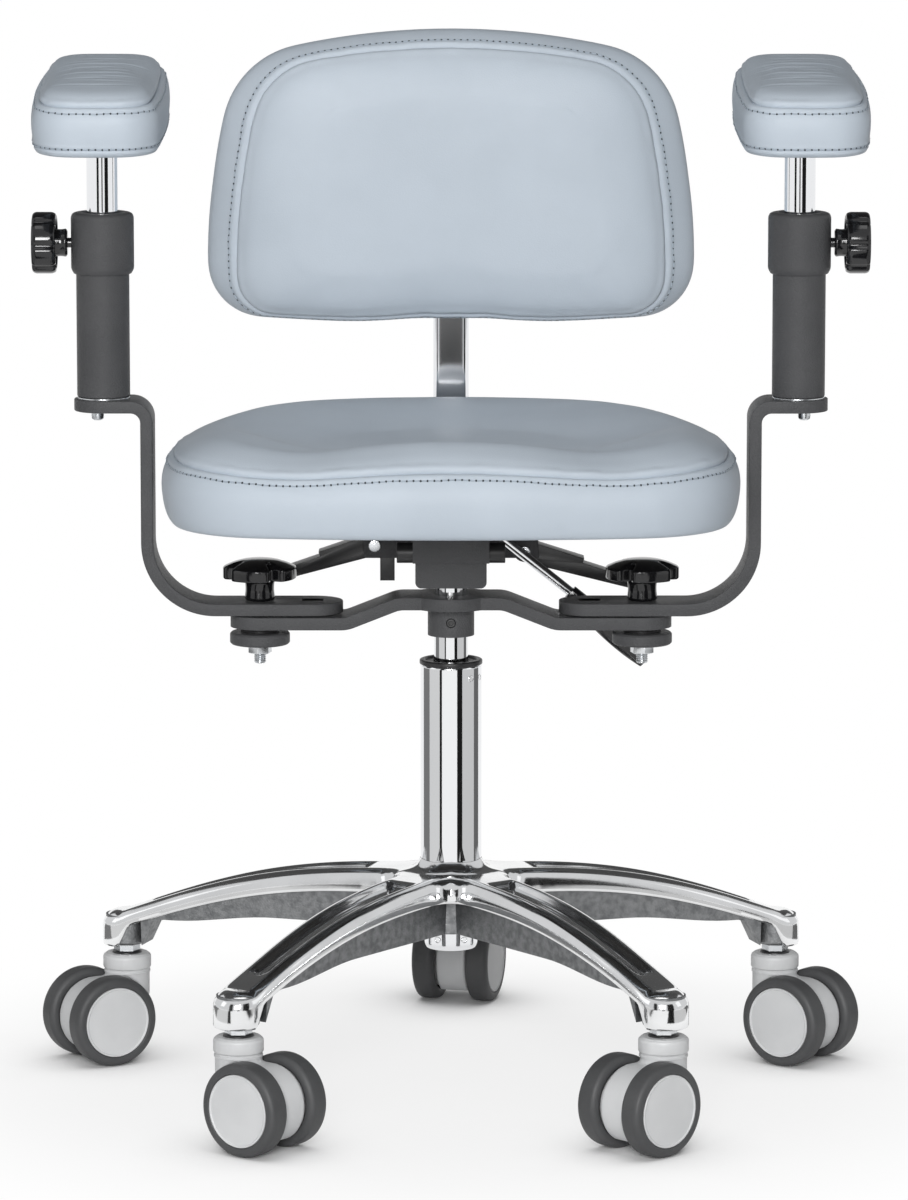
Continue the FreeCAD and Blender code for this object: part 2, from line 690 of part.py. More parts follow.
def caster_fork():
    """The castor housing: a drum between the wheels, a swivel head over the stem, and the axle."""
    inner_face = (WHEEL_SPACING - WHEEL_WIDTH) / 2
    drum_half = inner_face - SIDE_PLAY
    drum = wheel_cylinder(DRUM_RADIUS, -drum_half, drum_half)
    head = upright(SWIVEL_RADIUS, SWIVEL_BOTTOM, SWIVEL_TOP)
    bridge_top = WHEEL_RADIUS + DRUM_RADIUS
    bridge = box(Vector(0, -drum_half, SWIVEL_BOTTOM), Vector(CASTOR_TRAIL, drum_half, bridge_top))
    groove_top = SWIVEL_TOP - SWIVEL_GROOVE_DOWN
    groove = upright(SWIVEL_RADIUS + PAST, groove_top - SWIVEL_GROOVE, groove_top)
    groove = groove.cut(upright(SWIVEL_RADIUS - SWIVEL_GROOVE, groove_top - SWIVEL_GROOVE, groove_top))
    wide = SWIVEL_RADIUS + WHEEL_SPACING
    ground = box(Vector(-wide, -wide, 0), Vector(wide + DRUM_RADIUS, wide, DRUM_GROUND_GAP))
    cutters = [groove, ground, upright(STEM_RADIUS + RUN_GAP, STEM_FOOT - RUN_GAP, SWIVEL_TOP + PAST)]
    for side in (-1, 1):
        ends = sorted([side * drum_half, side * wide])
        cutters.append(wheel_cylinder(WHEEL_RADIUS + SIDE_PLAY, ends[0], ends[1]))
    cutters.append(wheel_cylinder(AXLE_RADIUS, -wide, wide))
    housing = without(fused([drum, head, bridge]), cutters)
    axle_half = (WHEEL_SPACING + WHEEL_WIDTH) / 2 - COVER_BULGE
    return Part.makeCompound([housing, wheel_cylinder(AXLE_RADIUS, -axle_half, axle_half)])


def caster_wheel(side):
    """One wheel: a rounded tread ring on a disc with a shallow domed cover."""
    inner = (WHEEL_SPACING - WHEEL_WIDTH) / 2
    outer = inner + WHEEL_WIDTH
    tread = wheel_cylinder(WHEEL_RADIUS, inner, outer)
    tread = tread.makeFillet(TREAD_ROUND, [edge for edge in tread.Edges if edge.Length > WHEEL_WIDTH * 2])
    tread = tread.cut(wheel_cylinder(COVER_RADIUS, inner - PAST, outer + PAST))
    core = wheel_cylinder(COVER_RADIUS, inner, outer)
    core = core.makeFillet(COVER_BULGE, [edge for edge in core.Edges if edge.BoundBox.YMin > outer - 1])
    core = core.cut(wheel_cylinder(AXLE_RADIUS + RUN_GAP, inner - PAST, outer - COVER_BULGE + SIDE_PLAY))
    wheel = Part.makeCompound([tread, core])
    if side < 0:
        wheel = wheel.rotated(Vector(CASTOR_TRAIL, 0, WHEEL_RADIUS), Z_AXIS, 180)
    return wheel


# Arm carrier and its fittings

def carrier_middle():
    """The carrier's middle line in X and Z: a flat centre stepped down to both ends."""
    high = CARRIER_TOP - BAR_THICK / 2
    low = CARRIER_END_TOP - BAR_THICK / 2
    end = ARM_PIVOT + BAR_WIDTH
    return [(-end, low), (-CARRIER_SLOPE_END, low), (-CARRIER_FLAT, high),
            (CARRIER_FLAT, high), (CARRIER_SLOPE_END, low), (end, low)]


def arm_carrier():
    """The cross bar that carries both arms, with the collar welded under it."""
    def in_front(point):
        return Vector(point[0], -CARRIER_BOSS_RADIUS - PAST, point[1])

    face = bent_face(carrier_middle(), CARRIER_BEND, BAR_THICK, in_front)
    strip = face.extrude(Vector(0, 2 * (CARRIER_BOSS_RADIUS + PAST), 0))
    low = CARRIER_END_TOP - BAR_THICK - PAST
    plan = slot_prism(BAR_WIDTH / 2, -ARM_PIVOT, ARM_PIVOT, low, CARRIER_TOP + PAST)
    plan = plan.fuse(upright(CARRIER_BOSS_RADIUS, low, CARRIER_TOP + PAST))
    plate = strip.common(plan)
    collar = upright(COLLAR_RADIUS, COLLAR_BOTTOM, CARRIER_TOP - BAR_THICK)
    cutters = [upright(CYLINDER_RADIUS, COLLAR_BOTTOM - PAST, CARRIER_TOP + PAST), set_screw_line(0.0)]
    for side in (-1, 1):
        cutters.append(upright(ARM_STUD_RADIUS, low, CARRIER_TOP, side * ARM_PIVOT))
    return without(fused([plate, collar]), cutters)


def set_screw_line(inner):
    """A cylinder on the grub screw's line, from outside the collar to a distance off the axis."""
    outer = Vector(0, -COLLAR_RADIUS - RUN_GAP, SET_SCREW_HEIGHT)
    return rod(SET_SCREW_RADIUS, outer, Vector(0, -inner, SET_SCREW_HEIGHT))


def set_screw():
    """The grub screw that clamps the carrier to the cylinder."""
    return set_screw_line(CYLINDER_RADIUS)


def carrier_end_bottom():
    """Height of the underside of the carrier's ends."""
    return CARRIER_END_TOP - BAR_THICK


def disc_top():
    """Height of the top of the friction discs."""
    return carrier_end_bottom() - WASHER_THICK


def swing_bottom():
    """Height of the underside of the swing bars' lower runs."""
    return CARRIER_END_TOP + BAR_GAP


def arm_pivot_bolts():
    """Two studs with their nuts and spacing washers."""
    pieces = []
    nut_top = disc_top() - DISC_THICK
    stud_top = swing_bottom() + BAR_THICK + STAR_STEM
    for side in (-1, 1):
        x = side * ARM_PIVOT
        pieces.append(upright(ARM_STUD_RADIUS, ARM_STUD_BOTTOM, stud_top, x))
        nut = hexagon(NUT_HEX, nut_top - NUT_THICK, nut_top, x)
        washer = upright(WASHER_RADIUS, disc_top(), carrier_end_bottom(), x)
        for ring in (nut, washer):
            pieces.append(ring.cut(upright(ARM_STUD_RADIUS, ARM_STUD_BOTTOM, stud_top, x)))
    return Part.makeCompound(pieces)


def friction_discs():
    """The two discs pulled up under the carrier's ends."""
    pieces = []
    for side in (-1, 1):
        disc = turned([(ARM_STUD_RADIUS, disc_top() - DISC_THICK), (DISC_RADIUS, disc_top() - DISC_THICK),
                       (DISC_RADIUS, disc_top() - DISC_CHAMFER), (DISC_RADIUS - DISC_CHAMFER, disc_top()),
                       (ARM_STUD_RADIUS, disc_top())])
        disc.translate(Vector(side * ARM_PIVOT, 0, 0))
        pieces.append(disc)
    return Part.makeCompound(pieces)


# Arms, modelled on the right and turned half round for the left

def arm_space(shape, side):
    """A right arm's piece, turned half round the column for the left arm."""
    if side > 0:
        return shape
    return shape.rotated(ORIGIN, Z_AXIS, 180)


def pad_side(shape, side):
    """A right pad's piece, shifted across for the left arm so that its front stays in front."""
    if side > 0:
        return shape
    return shape.translated(Vector(-2 * POST_REACH, 0, 0))


def swing_bar():
    """The flat bar that swings on the carrier and rises beside the seat to the post."""
    low = swing_bottom() + BAR_THICK / 2
    high = TAB_TOP - BAR_THICK / 2
    half = BAR_WIDTH / 2

    def in_front(point):
        return Vector(point[0], -half - PAST, point[1])

    bend_top = between(low, high, 0.6)
    lower = bent_face([(SWING_INNER_END, low), (SWING_WALL, low), (SWING_WALL, bend_top)],
                      SWING_BEND, BAR_THICK, in_front)
    upper = bent_face([(SWING_WALL, bend_top), (SWING_WALL, high), (POST_REACH + half, high)],
                      TAB_BEND, BAR_THICK, in_front)
    along = Vector(0, BAR_WIDTH + 2 * PAST, 0)
    strip = fused([lower.extrude(along), upper.extrude(along)])
    plan = slot_prism(half, SWING_INNER_END + half, POST_REACH, low - BAR_THICK, high + BAR_THICK)
    hole = upright(ARM_STUD_RADIUS + RUN_GAP, low - BAR_THICK, low + BAR_THICK, ARM_PIVOT)
    bolt_hole = upright(POST_BOLT_RADIUS, high - BAR_THICK, high + BAR_THICK, POST_REACH + POST_BOLT_OUT)
    return without(strip.common(plan), [hole, bolt_hole])


def star_knob():
    """The four-lobed knob over the arm pivot."""
    foot = swing_bottom() + BAR_THICK + RUN_GAP
    head = foot + STAR_STEM
    rim_top = head + STAR_RIM
    crown = STAR_RADIUS * 0.62
    profile = [(0, foot), (STAR_STEM_RADIUS, foot), (STAR_STEM_RADIUS, head), (STAR_RADIUS, head),
               (STAR_RADIUS, rim_top), (crown, rim_top + STAR_DOME * 0.72), (0, rim_top + STAR_DOME)]
    body = turned(profile)
    cutters = [upright(ARM_STUD_RADIUS + RUN_GAP, foot - PAST, head + RUN_GAP)]
    for lobe in range(STAR_LOBES):
        angle = 2 * math.pi * (lobe + 0.5) / STAR_LOBES
        reach = STAR_RADIUS + STAR_GROOVE - STAR_GROOVE_DEPTH
        cutters.append(upright(STAR_GROOVE, head - PAST, rim_top + STAR_DOME,
                               reach * math.cos(angle), reach * math.sin(angle)))
    knob = without(body, cutters)
    knob.translate(Vector(ARM_PIVOT, 0, 0))
    return knob


def clamp_line(radius, reach):
    """A cylinder on the clamp screw's line, from a reach off the rod's axis to the knob."""
    start = Vector(POST_REACH + reach, 0, CLAMP_HEIGHT)
    end = Vector(POST_REACH + RING_RADIUS + CLAMP_STAND + CLAMP_HUB, 0, CLAMP_HEIGHT)
    return rod(radius, start, end)


def clamp_hole():
    """The clamp screw's running hole, open into the tube's bore."""
    return clamp_line(CLAMP_SCREW_RADIUS + RUN_GAP, 0.0)


def post_tube():
    """The arm's fixed outer tube, closed below where the bolt holds it."""
    bottom = TAB_TOP + POST_WASHER
    solid = upright(POST_RADIUS, bottom, POST_TOP, POST_REACH)
    bore = upright(ROD_RADIUS + RUN_GAP, POST_BORE_BOTTOM, POST_TOP + PAST, POST_REACH)
    return without(solid, [bore, clamp_hole(), post_bolt_shank()])


def post_bolt_shank():
    """The bolt's shank through the swing bar's tab."""
    x = POST_REACH + POST_BOLT_OUT
    bottom = TAB_TOP - BAR_THICK - POST_BOLT_BELOW
    return upright(POST_BOLT_RADIUS, bottom, TAB_TOP + POST_WASHER + POST_BOLT_UP, x)


def post_bolt():
    """The bolt under the post with the washer on the tab."""
    washer = upright(POST_RADIUS, TAB_TOP, TAB_TOP + POST_WASHER, POST_REACH)
    return fused([post_bolt_shank(), washer])


def clamp_collar():
    """The clamp ring that caps the outer tube and guides the chrome rod."""
    ring = upright(RING_RADIUS, RING_BOTTOM, RING_TOP, POST_REACH)
    rims = [edge for edge in ring.Edges if edge.Length > 2 * math.pi * ROD_RADIUS]
    ring = ring.makeFillet(RING_ROUND, rims)
    cutters = [upright(POST_RADIUS, RING_BOTTOM - PAST, POST_TOP, POST_REACH),
               upright(ROD_RADIUS + RUN_GAP, POST_TOP - PAST, RING_TOP + PAST, POST_REACH),
               clamp_hole()]
    return without(ring, cutters)


def lobed_knob(start, axis):
    """A many-lobed clamp knob along an axis: hub first, then its head."""
    neck = rod(CLAMP_HUB_RADIUS, ORIGIN, Vector(0, 0, CLAMP_HUB + CLAMP_EDGE))
    head = upright(CLAMP_RADIUS, CLAMP_HUB, CLAMP_HUB + CLAMP_THICK)
    head = head.makeChamfer(CLAMP_EDGE, [edge for edge in head.Edges if edge.Length > 2 * CLAMP_RADIUS])
    cutters = []
    for lobe in range(CLAMP_LOBES):
        angle = 2 * math.pi * (lobe + 0.5) / CLAMP_LOBES
        reach = CLAMP_RADIUS + CLAMP_GROOVE - CLAMP_GROOVE_DEPTH
        cutters.append(upright(CLAMP_GROOVE, CLAMP_HUB - PAST, CLAMP_HUB + CLAMP_THICK + PAST,
                               reach * math.cos(angle), reach * math.sin(angle)))
    knob = fused([neck, without(head, cutters)])
    knob.Placement = FreeCAD.Placement(start, FreeCAD.Rotation(Z_AXIS, axis))
    return knob


def clamp_knob():
    """The knob and screw that clamp the pad's rod."""
    start = Vector(POST_REACH + RING_RADIUS + CLAMP_STAND, 0, CLAMP_HEIGHT)
    screw = clamp_line(CLAMP_SCREW_RADIUS, ROD_RADIUS + RUN_GAP)
    return fused([lobed_knob(start, X_AXIS), screw])


def pad_rod():
    """The chrome tube that lifts the arm pad, closed above."""
    top = PAD_BOTTOM + ROD_SEAT_DEPTH
    tube = upright(ROD_RADIUS, ROD_BOTTOM, top, POST_REACH)
    return tube.cut(upright(ROD_RADIUS - ROD_WALL, ROD_BOTTOM - PAST, top - PLATE_THICK, POST_REACH))


def pad_space(shape):
    """A pad piece modelled level on the rod, tipped down to the front."""
    return shape.rotated(Vector(POST_REACH, 0, PAD_BOTTOM), X_AXIS, PAD_TILT)


def pad_plate():
    """The board inside the pad's underside, bored for the rod."""
    half_x = PAD_HALF_WIDTH - PLATE_MARGIN
    half_y = PAD_HALF_LENGTH - PLATE_MARGIN
    centre = Vector(POST_REACH, 0, PAD_BOTTOM)
    outline = rounded_rectangle(centre, X_AXIS, Y_AXIS, half_x, half_y, PLATE_CORNER)
    board = pad_space(Part.Face(outline).extrude(Vector(0, 0, PLATE_THICK)))
    return board.cut(rod_seat())


def rod_seat():
    """The hole in the pad for the rod's end."""
    top = PAD_BOTTOM + ROD_SEAT_DEPTH + RUN_GAP
    return upright(ROD_RADIUS + RUN_GAP, PAD_BOTTOM - PLATE_THICK, top, POST_REACH)


def pad_cushion():
    """The padded arm rest: bulging sides under a seam, and a crowned top."""
    levels = [(PAD_BULGE, 0.0), (1.5, 0.2 * PAD_SEAM_RISE), (0.0, 0.5 * PAD_SEAM_RISE),
              (1.5, 0.8 * PAD_SEAM_RISE), (PAD_BULGE, PAD_SEAM_RISE),
              (2.4 * PAD_BULGE, PAD_SEAM_RISE + 0.75 * PAD_CROWN),
              (3.9 * PAD_BULGE, PAD_SEAM_RISE + PAD_CROWN)]
    sections = []
    for inset, rise in levels:
        def to_space(u, v, height=PAD_BOTTOM + rise):
            return Vector(POST_REACH + u, v, height)

        half_length = PAD_HALF_LENGTH - inset
        sections.append(soft_outline(PAD_HALF_WIDTH - inset, half_length, half_length, 0.0,
                                     PAD_SIDE_RADIUS, PAD_END_RADIUS, PAD_END_RADIUS,
                                     PAD_CORNER - inset, PAD_CORNER - inset, to_space))
    pad = pad_space(Part.makeLoft(sections, True, False))
    pocket_half_x = PAD_HALF_WIDTH - PLATE_MARGIN
    pocket_half_y = PAD_HALF_LENGTH - PLATE_MARGIN
    below = Vector(POST_REACH, 0, PAD_BOTTOM - PAST)
    pocket = rounded_rectangle(below, X_AXIS, Y_AXIS, pocket_half_x, pocket_half_y, PLATE_CORNER)
    pocket = pad_space(Part.Face(pocket).extrude(Vector(0, 0, PLATE_THICK + PAST)))
    return pad.cut(pocket)


# Tilt mechanism

def housing_half():
    """Half the width of the lower housing, which nests inside the seat carrier's skirt."""
    return SKIRT_HALF - SKIRT_WALL - RUN_GAP


def cross_pin(radius, half_length, y, z):
    """A pin across the mechanism."""
    return rod(radius, Vector(-half_length, y, z), Vector(half_length, y, z))


def mechanism_housing():
    """The folded lower housing with its cone socket and the height lever's lugs."""
    half = housing_half()
    outer = box(Vector(-half, HOUSING_FRONT, HOUSING_BOTTOM), Vector(half, HOUSING_REAR, HOUSING_TOP))
    edges = [edge for edge in outer.Edges
             if edge.BoundBox.ZMax < HOUSING_BOTTOM + PAST and edge.BoundBox.YLength > PAST]
    outer = outer.makeFillet(HOUSING_EDGE, edges)
    inner = box(Vector(SHEET - half, HOUSING_FRONT + SHEET, HOUSING_BOTTOM + SHEET),
                Vector(half - SHEET, HOUSING_REAR + PAST, HOUSING_TOP + PAST))
    socket = upright(SOCKET_RADIUS, HOUSING_BOTTOM - SOCKET_DROP, CYLINDER_TOP - BAR_THICK)
    eye = HEIGHT_EYE_WIDTH / 2 + RUN_GAP
    lugs = []
    for side in (-1, 1):
        ends = sorted([HEIGHT_PIVOT_Y + side * eye, HEIGHT_PIVOT_Y + side * (eye + HEIGHT_LUG_THICK)])
        low = Vector(HEIGHT_PIVOT_X - HEIGHT_EYE_RADIUS, ends[0], HEIGHT_PIVOT_Z - 3 * HEIGHT_EYE_RADIUS)
        lugs.append(box(low, Vector(half - SHEET / 2, ends[1], HEIGHT_PIVOT_Z + HEIGHT_EYE_RADIUS)))
    notch = box(Vector(half - 2 * SHEET, HEIGHT_PIVOT_Y - eye, HEIGHT_PIVOT_Z - 3 * HEIGHT_EYE_RADIUS),
                Vector(half + SHEET, HEIGHT_PIVOT_Y + eye, HOUSING_TOP + PAST))
    cutters = [notch, turned([(0, CYLINDER_BOTTOM)] + cylinder_outline() + [(0, CYLINDER_TOP)]), pivot_pins()]
    return without(fused([outer.cut(inner), socket] + lugs), cutters)


def pivot_pins():
    """The seat's pivot barrel, the backrest's pin and the height lever's pin."""
    reach = HEIGHT_EYE_WIDTH / 2 + RUN_GAP + HEIGHT_LUG_THICK
    lever_pin = rod(HEIGHT_PIN_RADIUS, Vector(HEIGHT_PIVOT_X, HEIGHT_PIVOT_Y - reach, HEIGHT_PIVOT_Z),
                    Vector(HEIGHT_PIVOT_X, HEIGHT_PIVOT_Y + reach, HEIGHT_PIVOT_Z))
    return Part.makeCompound([cross_pin(BARREL_RADIUS, BARREL_OUT, BARREL_Y, BARREL_Z),
                              cross_pin(BACK_PIN_RADIUS, housing_half(), BACK_PIN_Y, BACK_PIN_Z), lever_pin])


def seat_carrier():
    """The folded upper channel with the seat's flange and the lugs for both paddles."""
    top = FLANGE_TOP - FLANGE_THICK
    skirt = box(Vector(-SKIRT_HALF, SKIRT_FRONT, SKIRT_BOTTOM), Vector(SKIRT_HALF, SKIRT_REAR, top))
    hollow = box(Vector(SKIRT_WALL - SKIRT_HALF, SKIRT_FRONT + SKIRT_WALL, SKIRT_BOTTOM - PAST),
                 Vector(SKIRT_HALF - SKIRT_WALL, SKIRT_REAR + PAST, top - SKIRT_WALL))
    centre = Vector(0, FLANGE_CENTRE_Y, top)
    outline = rounded_rectangle(centre, X_AXIS, Y_AXIS, FLANGE_HALF_X, FLANGE_HALF_Y, FLANGE_CORNER)
    flange = Part.Face(outline).extrude(Vector(0, 0, FLANGE_THICK))
    pieces = [skirt.cut(hollow), flange]
    for side in (-1, 1):
        ends = sorted([side * (SKIRT_HALF - SKIRT_WALL / 2), side * LUG_REACH])
        pieces.append(box(Vector(ends[0], LUG_Y, LUG_BOTTOM), Vector(ends[1], LUG_Y + LUG_THICK, LUG_TOP)))
    slot = box(Vector(0, HEIGHT_PIVOT_Y - LEVER_SLOT, SKIRT_BOTTOM - PAST),
               Vector(SKIRT_HALF + PAST, HEIGHT_PIVOT_Y + LEVER_SLOT, HEIGHT_PIVOT_Z + HEIGHT_EYE_RADIUS))
    barrel = cross_pin(BARREL_RADIUS + RUN_GAP, BARREL_OUT, BARREL_Y, BARREL_Z)
    return without(fused(pieces), [slot, barrel, lever_pins()])


def lever_pins():
    """The headed pins that the two paddles turn on."""
    pins = []
    back = LUG_Y + LUG_THICK + SIDE_PLAY + LEVER_DEPTH
    for kind in LEVER_PIN_X:
        x = LEVER_PIN_X[kind]
        z = LEVER_PIN_Z[kind]
        shank = rod(LEVER_PIN_RADIUS, Vector(x, LUG_Y - PAST, z), Vector(x, back, z))
        head = rod(LEVER_PIN_HEAD_RADIUS, Vector(x, LUG_Y - LEVER_PIN_HEAD, z), Vector(x, LUG_Y, z))
        pins.append(fused([shank, head]))
    return Part.makeCompound(pins)


def paddle(kind):
    """A paddle lever: hub, thick root and a thinner blade sloping outward."""
    x = LEVER_PIN_X[kind]
    z = LEVER_PIN_Z[kind]
    start = Vector(x, 0, z)
    run = Vector(LEVER_TIP_X[kind], 0, LEVER_TIP_Z[kind]) - start
    along = Vector(run).normalize()
    up = Vector(-along.z, 0, along.x) if along.x > 0 else Vector(along.z, 0, -along.x)
    front = Vector(0, LUG_Y + LUG_THICK + SIDE_PLAY, 0)
    step = start + run * LEVER_STEP
    tip = start + run
    root = LEVER_ROOT_HEIGHT / 2
    blade_top = LEVER_TIP_HEIGHT - root
    points = [start + up * root, step + up * root, step + up * blade_top, tip + up * blade_top,
              tip - up * root, start - up * root]
    face = Part.Face(Part.makePolygon([point + front for point in points + points[:1]]))
    depth = Vector(0, LEVER_DEPTH, 0)
    hub = rod(LEVER_HUB_RADIUS, start + front, start + front + depth)
    pieces = [face.extrude(depth), hub]
    if kind == "tilt":
        inner = x + LEVER_HUB_RADIUS * 0.5
        low = Vector(inner, front.y, z - TONGUE_DROP)
        pieces.append(box(low, Vector(inner + TONGUE_OUT, front.y + LUG_THICK, z)))
    bore = rod(LEVER_PIN_RADIUS + RUN_GAP, start + front - depth, start + front + depth * 2)
    return fused(pieces).cut(bore)


def height_points():
    """The height lever's pivot, the bend where its grip starts, and its tip."""
    y = HEIGHT_PIVOT_Y
    return (Vector(HEIGHT_PIVOT_X, y, HEIGHT_PIVOT_Z), Vector(HEIGHT_BEND_X, y, HEIGHT_BEND_Z),
            Vector(HEIGHT_TIP_X, y, HEIGHT_TIP_Z))


def height_shaft(start):
    """The height lever's round shaft, from a start to its end inside the grip."""
    pivot, bend = height_points()[:2]
    along = (bend - pivot).normalize()
    return rod(HEIGHT_ROD_RADIUS, start, bend + along * HEIGHT_GRIP_OVERLAP)


def height_lever_rod():
    """The chrome rod with its eye, and the plate that presses the valve."""
    pivot = height_points()[0]
    half = Vector(0, HEIGHT_EYE_WIDTH / 2, 0)
    eye = rod(HEIGHT_EYE_RADIUS, pivot - half, pivot + half)
    low = CYLINDER_TOP + VALVE_RISE + RUN_GAP
    width = PRESS_WIDTH / 2
    across = box(Vector(-width, HEIGHT_PIVOT_Y - HEIGHT_EYE_WIDTH / 2, low),
                 Vector(HEIGHT_PIVOT_X, HEIGHT_PIVOT_Y + HEIGHT_EYE_WIDTH / 2, low + PRESS_PLATE))
    forward = box(Vector(-width, -width, low), Vector(width, HEIGHT_PIVOT_Y, low + PRESS_PLATE))
    bore = rod(HEIGHT_PIN_RADIUS + RUN_GAP, pivot - half * 2, pivot + half * 2)
    return fused([eye, height_shaft(pivot), across, forward]).cut(bore)


def height_lever_grip():
    """The flattened grip on the height lever's rod, set a little steeper than the rod."""
    pivot, bend, tip = height_points()
    along = (tip - bend).normalize()
    across = Vector(-along.z, 0, along.x)
    widths = [(0.0, 0.78), (0.25, 1.0), (0.75, 0.95), (1.0, 0.55)]
    sections = []
    for share, scale in widths:
        centre = bend + (tip - bend) * share
        sections.append(rounded_rectangle(centre, across, Y_AXIS, HEIGHT_GRIP_WIDTH * scale,
                                          HEIGHT_GRIP_THICK * scale, HEIGHT_GRIP_END * scale))
    return Part.makeLoft(sections, True, False).cut(height_shaft(pivot))


# Seat

def seat_outline(inset, height):
    """The seat's plan line, drawn in by an inset, at a height."""
    def to_space(u, v):
        return Vector(u, v, height)

    return soft_outline(SEAT_HALF_WIDTH - inset, SEAT_FRONT - inset, SEAT_REAR - inset, SEAT_WIDEST_Y,
                        SEAT_SIDE_RADIUS - inset, SEAT_FRONT_RADIUS - inset, SEAT_REAR_RADIUS - inset,
                        SEAT_FRONT_CORNER - inset, SEAT_REAR_CORNER - inset, to_space)


def seat_board(thickness=BOARD_THICK):
    """The plywood board that the seat is upholstered on."""
    return Part.Face(seat_outline(BOARD_MARGIN, FLANGE_TOP)).extrude(Vector(0, 0, thickness))


def seat_cushion():
    """The seat: bulging border, seam, and a dished top behind the front roll."""
    seam = SEAT_SEAM_RISE
    levels = [(1.8 * SEAT_BULGE, 0.0), (0.4 * SEAT_BULGE, 0.18 * seam), (0.0, 0.5 * seam),
              (0.3 * SEAT_BULGE, 0.8 * seam), (SEAT_BULGE, seam),
              (2.9 * SEAT_BULGE, seam + 0.62 * SEAT_CROWN),
              (5.2 * SEAT_BULGE, seam + 0.95 * SEAT_CROWN), (7.2 * SEAT_BULGE, seam + SEAT_CROWN)]
    sections = [seat_outline(inset, SEAT_BOTTOM + rise) for inset, rise in levels]
    cushion = Part.makeLoft(sections, True, False)
    bowl = (SEAT_DISH_RADIUS ** 2 + SEAT_DISH_DEPTH ** 2) / (2 * SEAT_DISH_DEPTH)
    floor = SEAT_BOTTOM + seam + SEAT_CROWN - SEAT_DISH_DEPTH
    dish = Part.makeSphere(bowl, Vector(0, SEAT_DISH_Y, floor + bowl))
    return without(cushion, [dish, seat_board()])


# Backrest

def back_outline(side_inset, bottom_inset, top_inset, depth):
    """The backrest's front line, drawn in by three insets, at a depth."""
    def to_space(u, v):
        return Vector(u, depth, BACK_WIDEST_Z + v)

    drawn = (side_inset + bottom_inset) / 2
    return soft_outline(BACK_HALF_WIDTH - side_inset, BACK_WIDEST_Z - BACK_BOTTOM - bottom_inset,
                        BACK_TOP - BACK_WIDEST_Z - top_inset, 0.0, BACK_SIDE_RADIUS,
                        BACK_BOTTOM_RADIUS, BACK_TOP_RADIUS,
                        max(BACK_BOTTOM_CORNER - drawn, BACK_BOTTOM_CORNER / 4),
                        max(BACK_TOP_CORNER - drawn, BACK_TOP_CORNER / 4), to_space)


def back_shell():
    """The moulded board behind the backrest's padding."""
    margin = BACK_BOARD_MARGIN
    face = Part.Face(back_outline(margin, margin, margin, BACK_REAR - BACK_BOARD_THICK))
    return face.extrude(Vector(0, BACK_BOARD_THICK, 0))


def back_cushion():
    """The backrest's padding: walls that flare to the rear, a seam and a crowned front panel."""
    deep = BACK_REAR - BACK_SEAM_Y
    levels = [(14.0, 9.0, 9.0, BACK_REAR), (3.0, 2.0, 2.0, BACK_REAR - 0.14 * deep),
              (0.0, 0.0, 0.0, BACK_REAR - 0.38 * deep),
              (0.4 * BACK_SEAM_SIDE, 0.3 * BACK_SEAM_BOTTOM, 0.35 * BACK_SEAM_TOP, BACK_REAR - 0.72 * deep),
              (BACK_SEAM_SIDE, BACK_SEAM_BOTTOM, BACK_SEAM_TOP, BACK_SEAM_Y),
              (1.7 * BACK_SEAM_SIDE, 4.4 * BACK_SEAM_BOTTOM, 2.4 * BACK_SEAM_TOP,
               BACK_SEAM_Y - 0.75 * BACK_CROWN),
              (2.6 * BACK_SEAM_SIDE, 8.0 * BACK_SEAM_BOTTOM, 3.9 * BACK_SEAM_TOP, BACK_SEAM_Y - BACK_CROWN)]
    sections = [back_outline(*level) for level in levels]
    return Part.makeLoft(sections, True, False).cut(back_shell())


def back_bar():
    """The bent bar from the mechanism to the backrest, with its pivot hub."""
    start = Vector(0, BACK_PIN_Y, BACK_PIN_Z)
    bend_start = Vector(0, BACK_BAR_Y - BACK_BAR_BEND, BACK_PIN_Z)
    bend_end = Vector(0, BACK_BAR_Y, BACK_PIN_Z + BACK_BAR_BEND)
    rise = BACK_BAR_BEND * (1 - math.sqrt(0.5))
    middle = Vector(0, BACK_BAR_Y - rise, BACK_PIN_Z + rise)
    top = Vector(0, BACK_BAR_Y, BACK_BAR_TOP)
    path = Part.Wire([Part.makeLine(start, bend_start), Part.Arc(bend_start, middle, bend_end).toShape(),
                      Part.makeLine(bend_end, top)])
    section = rounded_rectangle(start, X_AXIS, Z_AXIS, BACK_BAR_WIDTH / 2, BACK_BAR_THICK / 2, BACK_BAR_ROUND)
    bar = path.makePipeShell([section], True, False)
    hub = cross_pin(BACK_BAR_HUB, housing_half() - SHEET - SIDE_PLAY, BACK_PIN_Y, BACK_PIN_Z)
    bore = cross_pin(BACK_PIN_RADIUS + RUN_GAP, SKIRT_HALF, BACK_PIN_Y, BACK_PIN_Z)
    return fused([bar, hub]).cut(bore)


def clamp_block_rear():
    """Where the backrest's clamp block ends behind the bar."""
    return BACK_BAR_Y + BACK_BAR_THICK / 2 + CLAMP_BLOCK_WALL


def back_screw(gap):
    """The backrest clamp's screw, widened by a gap for its hole."""
    z = (CLAMP_BLOCK_BOTTOM + CLAMP_BLOCK_TOP) / 2
    start = Vector(0, BACK_BAR_Y + BACK_BAR_THICK / 2 + RUN_GAP, z)
    return rod(CLAMP_SCREW_RADIUS + gap, start, Vector(0, clamp_block_rear() + CLAMP_STAND + CLAMP_HUB, z))


